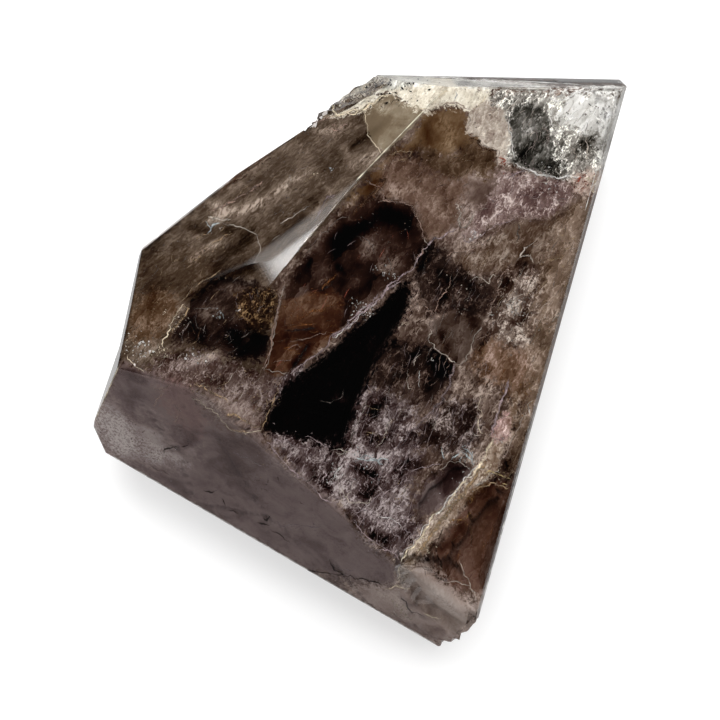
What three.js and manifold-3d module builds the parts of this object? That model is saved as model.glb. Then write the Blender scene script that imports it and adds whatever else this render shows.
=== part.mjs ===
// A polished point of super seven quartz: smoky and amethyst quartz with clear areas, lying on a polished side.
// Millimetres. +Z is up, +X and +Y are the right and the top of the stone as it lies in front of the viewer.
// The natural tip is toward +X +Y, the sawn and polished base end faces -X -Y.
import * as THREE from 'three';
import { mergeVertices } from 'three/addons/utils/BufferGeometryUtils.js';
import { ImprovedNoise } from 'three/addons/math/ImprovedNoise.js';
import Module from 'manifold-3d';

const wasm = await Module();
wasm.setup();

// A point well inside the stone. The depth of every face is measured from it.
const HEART = new THREE.Vector3(0, 0, 15);

// Side of the rough block that the faces are cut from, and of the larger block that takes one face's waste away.
const BLOCK = 100;
const WASTE = 180;

// Polished faces the way a stone cutter notes them: tilt is the angle between the face's outward normal and
// straight up, heading is where that normal points in plan, clockwise from +Y, and depth is how far out the face is.
const POLISHED = {
  left_face: { tilt: 31.0, heading: 320.1, depth: 21.77 },
  right_face: { tilt: 28.7, heading: 119.9, depth: 11.58 },
  base_face: { tilt: 74.5, heading: 207.4, depth: 21.87 },
  ridge_facet: { tilt: 19.5, heading: 318.7, depth: 20.92 },
  ridge_end: { tilt: 20.9, heading: 307.6, depth: 21.3 },
  top_strip: { tilt: 62.0, heading: 3.5, depth: 33.45 },
  right_strip: { tilt: 82.0, heading: 107.0, depth: 21.72 },
  left_strip: { tilt: 77.3, heading: 281.9, depth: 29.02 },
  side_upper_left: { tilt: 93.0, heading: 319.8, depth: 23.98 },
  side_top: { tilt: 98.0, heading: 350.7, depth: 31.63 },
  side_right: { tilt: 100.0, heading: 104.7, depth: 21.73 },
  side_base: { tilt: 118.0, heading: 213.2, depth: 24.14 },
  side_corner: { tilt: 100.0, heading: 257.8, depth: 32.14 },
  resting_face: { tilt: 180.0, heading: 0, depth: 15.0 },
};

// The left side is very slightly hollow: two flats meet along a line that is the inside of a shallow bend.
const HOLLOW_UPPER = { tilt: 96.0, heading: 277.1, depth: 26.13 };
const HOLLOW_LOWER = { tilt: 89.6, heading: 298.8, depth: 23.58 };

// A flat spall along the upper left edge. It ends in a step where the unpolished skin starts.
const SPALL = { tilt: 93.0, heading: 326.0, depth: 24.01, from: -45, to: 9.8 };

// Unpolished skin: a strip seen from above along the top left edge, the side under it, and the broken bottom corner.
// from and to are where each strip starts and ends along its own face.
const RAW_STRIP = { tilt: 52.0, heading: 329.6, depth: 26.95, from: 8.6, to: 27, bump: 0.32, grain: 1.1 };
const RAW_SIDE = { tilt: 94.0, heading: 308.8, depth: 20.1, from: 15.4, to: 40, bump: 0.38, grain: 1.4 };
const RAW_CORNER = { tilt: 112.0, heading: 132.8, depth: 30.4, from: 4, to: 26, bump: 0.45, grain: 1.5 };
const SKIN_STEP = 0.85;
const STRIP_REACH = 40;
const GRIT = 2.3;

// The shell-shaped break beside the bottom corner: a shallow scoop with ripples round the point of the blow.
const SCOOP = { at: [8.6, -30.4, 13.4], radius: 15, bite: 1.0, ripple: 0.1, ripples: 52,
  wander: 0.25 };
const SCOOP_DETAIL = 22;

// Chips and pits: where each is, how long, wide and deep, and where its long side points, clockwise from +Y.
const CHIPS = [
  { face: 'right_face', at: [24.0, 30.9, 25.2], size: [2.6, 0.9, 0.45], heading: 92 },
  { face: 'right_strip', at: [29.3, 20.8, 20.1], size: [2.4, 0.8, 0.35], heading: 17 },
  { face: 'right_strip', at: [31.5, 28.7, 21.2], size: [3.0, 0.7, 0.25], heading: 17 },
  { face: 'left_face', at: [-24.3, 12.1, 25.7], size: [1.6, 0.9, 0.4], heading: 50 },
  { face: 'base_face', at: [-6.8, -24.5, 7.4], size: [0.9, 0.7, 0.5], heading: 118 },
  { face: 'base_face', at: [-1.0, -27.7, 6.7], size: [1.3, 0.7, 0.6], heading: 118 },
  { face: 'base_face', at: [-11.2, -19.7, 15.4], size: [0.75, 0.6, 0.5], heading: 118 },
  { face: 'base_face', at: [-14.9, -18.4, 13.5], size: [1.3, 0.3, 0.3], heading: 118 },
  { face: 'base_face', at: [-22.1, -12.5, 20.2], size: [1.5, 0.35, 0.3], heading: 118 },
  { face: 'base_face', at: [-2.5, -25.3, 11.7], size: [1.1, 0.4, 0.35], heading: 118 },
];

const CHIP_UNEVEN = 0.45;

// Points closer than this are one point.
const MERGE = 1e-3;

const noise = new ImprovedNoise();

// The outward normal of a face.
function normalOf({ tilt, heading }) {
  const lean = THREE.MathUtils.degToRad(tilt);
  const bearing = THREE.MathUtils.degToRad(heading);
  const level = Math.sin(lean);
  return new THREE.Vector3(level * Math.sin(bearing), level * Math.cos(bearing), Math.cos(lean));
}

// Turns the axes X, Y, Z to: level along the face, down the face, and straight out of it.
function turnOnto(face) {
  const out = normalOf(face);
  const bearing = THREE.MathUtils.degToRad(face.heading);
  const along = new THREE.Vector3(Math.cos(bearing), -Math.sin(bearing), 0);
  return new THREE.Matrix4().makeBasis(along, out.clone().cross(along), out);
}

// A closed three.js geometry as a solid that can be cut.
function solid(geometry) {
  geometry.deleteAttribute('normal');
  geometry.deleteAttribute('uv');
  const merged = mergeVertices(geometry, MERGE);
  return new wasm.Manifold(new wasm.Mesh({
    numProp: 3,
    vertProperties: merged.attributes.position.array,
    triVerts: new Uint32Array(merged.index.array),
  }));
}

// Everything outside a face: the waste, a block standing on that face.
function outside(face) {
  const block = new THREE.BoxGeometry(WASTE, WASTE, WASTE);
  block.translate(0, 0, WASTE / 2 + face.depth);
  block.applyMatrix4(turnOnto(face));
  block.translate(HEART.x, HEART.y, HEART.z);
  return solid(block);
}

// The same for part of a face only, from one distance along it to another. A bump height makes its foot uneven.
function outsideStrip(face) {
  const { from, to, bump = 0, grain = 1 } = face;
  const [columns, rows] = bump > 0 ? [(to - from) / SKIN_STEP, STRIP_REACH / SKIN_STEP].map(Math.round) : [1, 1];
  const block = new THREE.BoxGeometry(to - from, STRIP_REACH, STRIP_REACH, columns, rows, 1);
  block.translate((from + to) / 2, 0, STRIP_REACH / 2 + face.depth);
  const point = new THREE.Vector3();
  const place = block.attributes.position;
  for (let i = 0; i < place.count; i += 1) {
    point.fromBufferAttribute(place, i);
    if (point.z < face.depth + MERGE) {
      const [across, down] = [point.x / grain, point.y / grain];
      const lumps = noise.noise(across, down, face.heading);
      const grit = noise.noise(GRIT * across, GRIT * down, face.tilt);
      place.setZ(i, point.z + bump * (2 * lumps + grit));
    }
  }
  block.applyMatrix4(turnOnto(face));
  block.translate(HEART.x, HEART.y, HEART.z);
  return solid(block);
}

// A chip: a low, uneven stone shape, half sunk in the face it was struck from.
function chip({ face, at, size, heading }, index) {
  const [length, width, depth] = size;
  const shape = new THREE.IcosahedronGeometry(1, 1);
  const point = new THREE.Vector3();
  const place = shape.attributes.position;
  for (let i = 0; i < place.count; i += 1) {
    point.fromBufferAttribute(place, i);
    const uneven = 1 + CHIP_UNEVEN * noise.noise(2 * point.x + index, 2 * point.y, 2 * point.z);
    place.setXYZ(i, point.x * uneven * length / 2, point.y * uneven * width / 2, point.z * uneven * depth);
  }
  const out = normalOf(POLISHED[face]);
  const bearing = THREE.MathUtils.degToRad(heading);
  const along = new THREE.Vector3(Math.sin(bearing), Math.cos(bearing), 0).projectOnPlane(out).normalize();
  shape.applyMatrix4(new THREE.Matrix4().makeBasis(along, out.clone().cross(along), out));
  shape.translate(...at);
  return solid(shape);
}

// The scoop: a large ball with ripples, set so that it bites into the edge between the right and base faces.
function scoop({ at, radius, bite, ripple, ripples, wander }) {
  const out = normalOf(POLISHED.right_face).add(normalOf(POLISHED.base_face)).normalize();
  const struck = out.clone().negate();
  const ball = new THREE.IcosahedronGeometry(radius, SCOOP_DETAIL);
  const point = new THREE.Vector3();
  const place = ball.attributes.position;
  for (let i = 0; i < place.count; i += 1) {
    point.fromBufferAttribute(place, i);
    const rings = ripple * Math.sin(ripples * point.angleTo(struck));
    const drift = wander * noise.noise(point.x / 3, point.y / 3, point.z / 3);
    point.setLength(radius + rings + drift);
    place.setXYZ(i, point.x, point.y, point.z);
  }
  const centre = new THREE.Vector3(...at).addScaledVector(out, radius - bite);
  ball.translate(centre.x, centre.y, centre.z);
  return solid(ball);
}

let stone = solid(new THREE.BoxGeometry(BLOCK, BLOCK, BLOCK));
for (const face of Object.values(POLISHED)) stone = stone.subtract(outside(face));
stone = stone.subtract(outside(HOLLOW_UPPER).intersect(outside(HOLLOW_LOWER)));
stone = stone.subtract(outsideStrip(SPALL));
for (const skin of [RAW_SIDE, RAW_STRIP, RAW_CORNER]) stone = stone.subtract(outsideStrip(skin));
stone = stone.subtract(scoop(SCOOP));
CHIPS.forEach((mark, index) => {
  stone = stone.subtract(chip(mark, index));
});

const cut = stone.getMesh();
const geometry = new THREE.BufferGeometry();
geometry.setAttribute('position', new THREE.BufferAttribute(new Float32Array(cut.vertProperties), 3));
geometry.setIndex(new THREE.BufferAttribute(new Uint32Array(cut.triVerts), 1));

// The origin is on the table under the middle of the stone.
geometry.computeBoundingBox();
const middle = geometry.boundingBox.getCenter(new THREE.Vector3());
geometry.translate(-middle.x, -middle.y, -geometry.boundingBox.min.z);
geometry.computeVertexNormals();

const quartz = new THREE.MeshStandardMaterial({ color: 0x4a3e38, roughness: 0.08, metalness: 0 });
const point = new THREE.Mesh(geometry, quartz);
point.name = 'quartz_point';

const part = new THREE.Group();
part.name = 'super_seven_quartz_point';
part.add(point);
export default part;
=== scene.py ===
import math
import bmesh
import bpy
import numpy as np
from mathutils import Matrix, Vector


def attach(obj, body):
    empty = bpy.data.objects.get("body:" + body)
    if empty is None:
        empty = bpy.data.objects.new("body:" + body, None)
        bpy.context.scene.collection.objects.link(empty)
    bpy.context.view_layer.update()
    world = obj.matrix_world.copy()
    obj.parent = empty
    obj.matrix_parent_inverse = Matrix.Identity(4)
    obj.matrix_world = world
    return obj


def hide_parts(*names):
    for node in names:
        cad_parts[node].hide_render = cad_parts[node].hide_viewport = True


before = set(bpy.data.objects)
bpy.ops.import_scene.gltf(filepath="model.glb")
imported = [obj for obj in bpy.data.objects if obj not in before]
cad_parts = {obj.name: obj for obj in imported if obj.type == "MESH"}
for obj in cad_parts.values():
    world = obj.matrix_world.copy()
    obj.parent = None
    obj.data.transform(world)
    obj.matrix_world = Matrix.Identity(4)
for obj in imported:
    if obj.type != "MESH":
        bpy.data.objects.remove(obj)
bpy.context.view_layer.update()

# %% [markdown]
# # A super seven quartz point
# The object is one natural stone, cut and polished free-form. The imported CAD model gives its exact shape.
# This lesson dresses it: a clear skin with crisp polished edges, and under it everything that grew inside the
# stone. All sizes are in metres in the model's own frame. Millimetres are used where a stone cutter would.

MM = 0.001

# %% [markdown]
# ## The viewer
# The photo looks steeply down on the lying stone through a long lens. The camera comes first, because what
# lies under a polished face is placed where the viewer sees it, bent by the face as in a real gem.

# %% Camera
LENS_MM = 187.5
SENSOR_MM = 36.0
ELEVATION = math.radians(72)
DISTANCE = 450 * MM
TARGET = np.array([-0.37, -2.06, 15.0]) * MM

out = np.array([0.0, -math.cos(ELEVATION), math.sin(ELEVATION)])
right = np.array([1.0, 0.0, 0.0])
up = np.cross(out, right)
eye = TARGET + DISTANCE * out
camera_data = bpy.data.cameras.new("photo_camera")
camera_data.lens = LENS_MM
camera_data.sensor_width = SENSOR_MM
camera_data.clip_start = 10 * MM
camera = bpy.data.objects.new("photo_camera", camera_data)
camera.location = eye
camera.rotation_euler = (math.pi / 2 - ELEVATION, 0, 0)
bpy.context.scene.collection.objects.link(camera)
bpy.context.scene.camera = camera


def in_picture(points):
    """Where the viewer sees points: millimetres right and up of the middle, measured at the target's distance.

    A point's offset from the eye, along the picture's right and up, is divided by how deep it lies and
    multiplied by the target's distance.
    """
    away = points - eye
    deep = -away @ out
    return np.stack([away @ right, away @ up], axis=1) / deep[:, None] * DISTANCE / MM


print("eye at", np.round(eye / MM, 1), "mm")

# %% [markdown]
# ## The polished skin
# A polished stone has edges that are crisp but never razor sharp: a wheel leaves a tiny flat on each, and that
# flat is what glints. The CAD solid gives the faces. A copy of it is joined up, its flat faces are made whole,
# and only the long edges between polished faces get a bevel. Beside the ridge the wheel rolled over the edge and
# left a soft shoulder: there, thin flats are cut one after the other, each turned a little further.

# %% Copy of the CAD solid with whole faces
JOIN = 0.02 * MM
POLISHED_AREA = 6 * MM * MM

cad_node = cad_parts["quartz_point"]
skin_mesh = cad_node.data.copy()
skin_mesh.name = "polished_skin"
shape = bmesh.new()
shape.from_mesh(skin_mesh)
bmesh.ops.remove_doubles(shape, verts=shape.verts, dist=JOIN)
bmesh.ops.dissolve_limit(shape, angle_limit=math.radians(0.3), verts=shape.verts, edges=shape.edges)
shape.normal_update()
print("skin:", len(shape.faces), "faces,", sum(f.calc_area() > POLISHED_AREA for f in shape.faces), "polished")

# %% Which small faces are unpolished skin
HEART = TARGET
RAW_PLANES = [(52.0, 329.6, 26.95), (94.0, 308.8, 20.1), (112.0, 132.8, 30.4)]
RAW_REACH = 1.0


def facing(tilt, heading):
    """A face's outward direction: tilt from straight up, heading clockwise from +Y, both in degrees."""
    lean, bearing = math.radians(tilt), math.radians(heading)
    return np.array([math.sin(lean) * math.sin(bearing), math.sin(lean) * math.cos(bearing), math.cos(lean)])


def is_raw(face):
    """True for a small face that lies near one of the unpolished planes and is turned about the same way."""
    if face.calc_area() > POLISHED_AREA:
        return False
    centre, normal = np.array(face.calc_center_median()), np.array(face.normal)
    for tilt, heading, depth in RAW_PLANES:
        way = facing(tilt, heading)
        if abs((centre - HEART) @ way / MM - depth) < RAW_REACH and normal @ way > 0.3:
            return True
    return False


raw_count = 0
for face in shape.faces:
    face.material_index = int(is_raw(face))
    face.smooth = face.calc_area() > POLISHED_AREA
    raw_count += face.material_index
print("unpolished faces:", raw_count)

# %% Softened shoulder: thin flats between the faces beside the ridge
PLANES = {"left_face": (31.0, 320.1, 21.77), "ridge_facet": (19.5, 318.7, 20.92), "ridge_end": (20.9, 307.6, 21.3)}
SHOULDERS = [  # the two faces, how far the softening reaches in mm, how many flats
    ("left_face", "ridge_facet", 2.4, 20), ("left_face", "ridge_end", 1.1, 8), ("ridge_end", "ridge_facet", 2.2, 12),
]
shoulder_ways = [facing(*PLANES[name][:2]) for name in ("ridge_facet", "ridge_end")]
for first, second, reach_mm, cuts in SHOULDERS:
    (tilt, heading, depth), (other_tilt, other_heading, other_depth) = PLANES[first], PLANES[second]
    one, other = facing(tilt, heading), facing(other_tilt, other_heading)
    agree = float(one @ other)
    radius = reach_mm / math.tan(math.acos(agree) / 2)
    edge_point = np.linalg.lstsq(np.array([one, other]), np.array([depth, other_depth]), rcond=None)[0]
    middle = edge_point - radius * (one + other) / (1 + agree)
    for k in range(1, cuts + 1):
        way = one * (cuts + 1 - k) + other * k
        way /= np.linalg.norm(way)
        shoulder_ways.append(way)
        spot = HEART + way * (middle @ way + radius) * MM
        geometry = shape.verts[:] + shape.edges[:] + shape.faces[:]
        bmesh.ops.bisect_plane(shape, geom=geometry, dist=1e-8, plane_co=spot, plane_no=way, clear_outer=True)
        rim = [edge for edge in shape.edges if edge.is_boundary]
        if rim:
            bmesh.ops.holes_fill(shape, edges=rim, sides=0)
# The cuts leave one triangle open, thin as a needle and half a millimetre long. Its three corners become the
# lowest of them. They are sorted by height, because a set has no order and each run would pick its own corner.
torn = {vert for edge in shape.edges if not edge.is_manifold for vert in edge.verts}
torn = sorted(torn, key=lambda vert: vert.co.z)
if torn:
    bmesh.ops.pointmerge(shape, verts=torn, merge_co=torn[0].co)
shape.normal_update()
print("after the shoulder:", len(shape.faces), "faces, open edges:", sum(not e.is_manifold for e in shape.edges))

# %% Bevel weights: crisp edges everywhere but on the shoulder, a clearer one on the ridge
CRISP_MM = 0.14
RIDGE_MM = 0.26
FOOT_MM = 0.22
LEFT_FACE, RIGHT_FACE = facing(31.0, 320.1), facing(28.7, 119.9)
FOOT_FACES = facing(74.5, 207.4), facing(118.0, 213.2)

weights = shape.edges.layers.float.new("bevel_weight_edge")


def edge_width(edge):
    """None beside the shoulder, clear on the ridge and along the foot of the base face, crisp elsewhere."""
    one, other = (np.array(face.normal) for face in edge.link_faces)
    if any(max(abs(n @ way) for way in shoulder_ways) > 0.99995 for n in (one, other)):
        return 0.0
    for pair, width in (((LEFT_FACE, RIGHT_FACE), RIDGE_MM), (FOOT_FACES, FOOT_MM)):
        if min(one @ pair[0], other @ pair[1]) > 0.9995 or min(one @ pair[1], other @ pair[0]) > 0.9995:
            return width
    return CRISP_MM


bevelled = 0
for edge in shape.edges:
    faces = edge.link_faces
    turn = faces[0].normal.angle(faces[1].normal, 0.0) if len(faces) == 2 else 0.0
    if len(faces) == 2 and min(f.calc_area() for f in faces) > POLISHED_AREA and edge.calc_length() > 3.5 * MM:
        if turn > math.radians(4):
            edge[weights] = edge_width(edge) / RIDGE_MM
            bevelled += edge_width(edge) > 0
    edge.smooth = edge[weights] > 0 or turn < math.radians(0.1)
shape.to_mesh(skin_mesh)
shape.free()
stone = bpy.data.objects.new("quartz_stone", skin_mesh)
bpy.context.scene.collection.objects.link(stone)
bevel = stone.modifiers.new("wheel_flats", "BEVEL")
bevel.limit_method = "WEIGHT"
bevel.width = RIDGE_MM * MM
bevel.segments = 6
bevel.use_clamp_overlap = False
bevel.harden_normals = True
print("bevelled edges:", bevelled)

# %% [markdown]
# ## What grew inside
# A super seven stone is full of matter: smoke, amethyst, veils of tiny bubbles, plates and needles. It
# starts a few tenths of a millimetre under the polish and falls away under the clear places. It is one closed
# surface: a distance from the stone's heart for every direction, found on the skin and then drawn in by a depth.

# %% The flat faces of the skin, as triangles
cad_triangles = np.zeros(len(cad_node.data.polygons) * 3, np.int32)
cad_node.data.polygons.foreach_get("vertices", cad_triangles)
cad_points = np.zeros(len(cad_node.data.vertices) * 3, np.float32)
cad_node.data.vertices.foreach_get("co", cad_points)
corners = cad_points.reshape(-1, 3).astype(float)[cad_triangles.reshape(-1, 3)]
spans = np.cross(corners[:, 1] - corners[:, 0], corners[:, 2] - corners[:, 0])
areas = np.linalg.norm(spans, axis=1) / 2
BIG_TRIANGLE = 0.6 * MM * MM
sound = areas > 1e-12
corners, areas, spans = corners[sound], areas[sound], spans[sound]
normals = spans / (2 * areas[:, None])
big = areas > BIG_TRIANGLE
big_corners, big_normals = corners[big], normals[big]
print("triangles:", len(corners), "large:", len(big_corners))

# %% Directions from the heart, evenly spread
GRID = 315


def directions(count):
    """A square grid folded over an octahedron: x and y stay, height is 1 - |x| - |y|, and where that is
    negative the corner is folded under. Each point is then pushed out to the unit ball."""
    line = np.linspace(-1, 1, count)
    x, y = np.meshgrid(line, line)
    height = 1 - np.abs(x) - np.abs(y)
    side_x, side_y = np.where(x >= 0, 1, -1), np.where(y >= 0, 1, -1)
    under = height < 0
    folded_x = np.where(under, (1 - np.abs(y)) * side_x, x)
    folded_y = np.where(under, (1 - np.abs(x)) * side_y, y)
    ball = np.stack([folded_x, folded_y, height], axis=-1).reshape(-1, 3)
    return ball / np.linalg.norm(ball, axis=1, keepdims=True)


def welded(ball, count):
    """Joins the grid's edge where the fold brings two points together, and gives the four-sided faces."""
    kept, place = np.unique(np.round(ball, 7) + 0.0, axis=0, return_inverse=True)
    number = place.reshape(count, count)
    quads = np.stack([number[:-1, :-1], number[:-1, 1:], number[1:, 1:], number[1:, :-1]], axis=-1)
    return kept, quads.reshape(-1, 4)


rays, quads = welded(directions(GRID), GRID)
UPWARD = 0.45
rays = rays + np.array([0, 0, UPWARD])
rays /= np.linalg.norm(rays, axis=1, keepdims=True)
print("directions:", len(rays), "upward:", int((rays[:, 2] > 0).sum()))

# %% How far the skin is in each direction


def nearest_face(origin, rays, corners, normals, leaving):
    """For each ray: how far away the nearest triangle is, and which one. A ray meets a triangle's plane at
    (plane distance) / (ray . normal) and is inside where the three edge-side tests agree. A ray that leaves
    the stone and meets no triangle takes the nearest plane that it points at."""
    best, spare = np.full(len(rays), np.inf), np.full(len(rays), np.inf)
    which, spare_which = np.zeros(len(rays), int), np.zeros(len(rays), int)
    heights = np.einsum("ij,ij->i", corners[:, 0] - origin, normals)
    for k, (triangle, normal) in enumerate(zip(corners, normals)):
        lean = rays @ normal
        meets = lean > 1e-6 if leaving else lean < -1e-6
        far = np.where(meets, heights[k] / np.where(meets, lean, 1), np.inf)
        point = origin + rays * np.where(meets, far, 0)[:, None]
        inside = meets & (far > 0)
        for a, b in ((0, 1), (1, 2), (2, 0)):
            inside &= (point - triangle[a]) @ np.cross(normal, triangle[b] - triangle[a]) >= -1e-10
        closer = inside & (far < best)
        best[closer], which[closer] = far[closer], k
        closer = far < spare
        spare[closer], spare_which[closer] = far[closer], k
    lost = ~np.isfinite(best)
    if leaving:
        best[lost], which[lost] = spare[lost], spare_which[lost]
    return best, which, lost


reach, face_number, lost = nearest_face(HEART, rays, big_corners, big_normals, True)
print("rays that met no large triangle:", int(lost.sum()))
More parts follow.
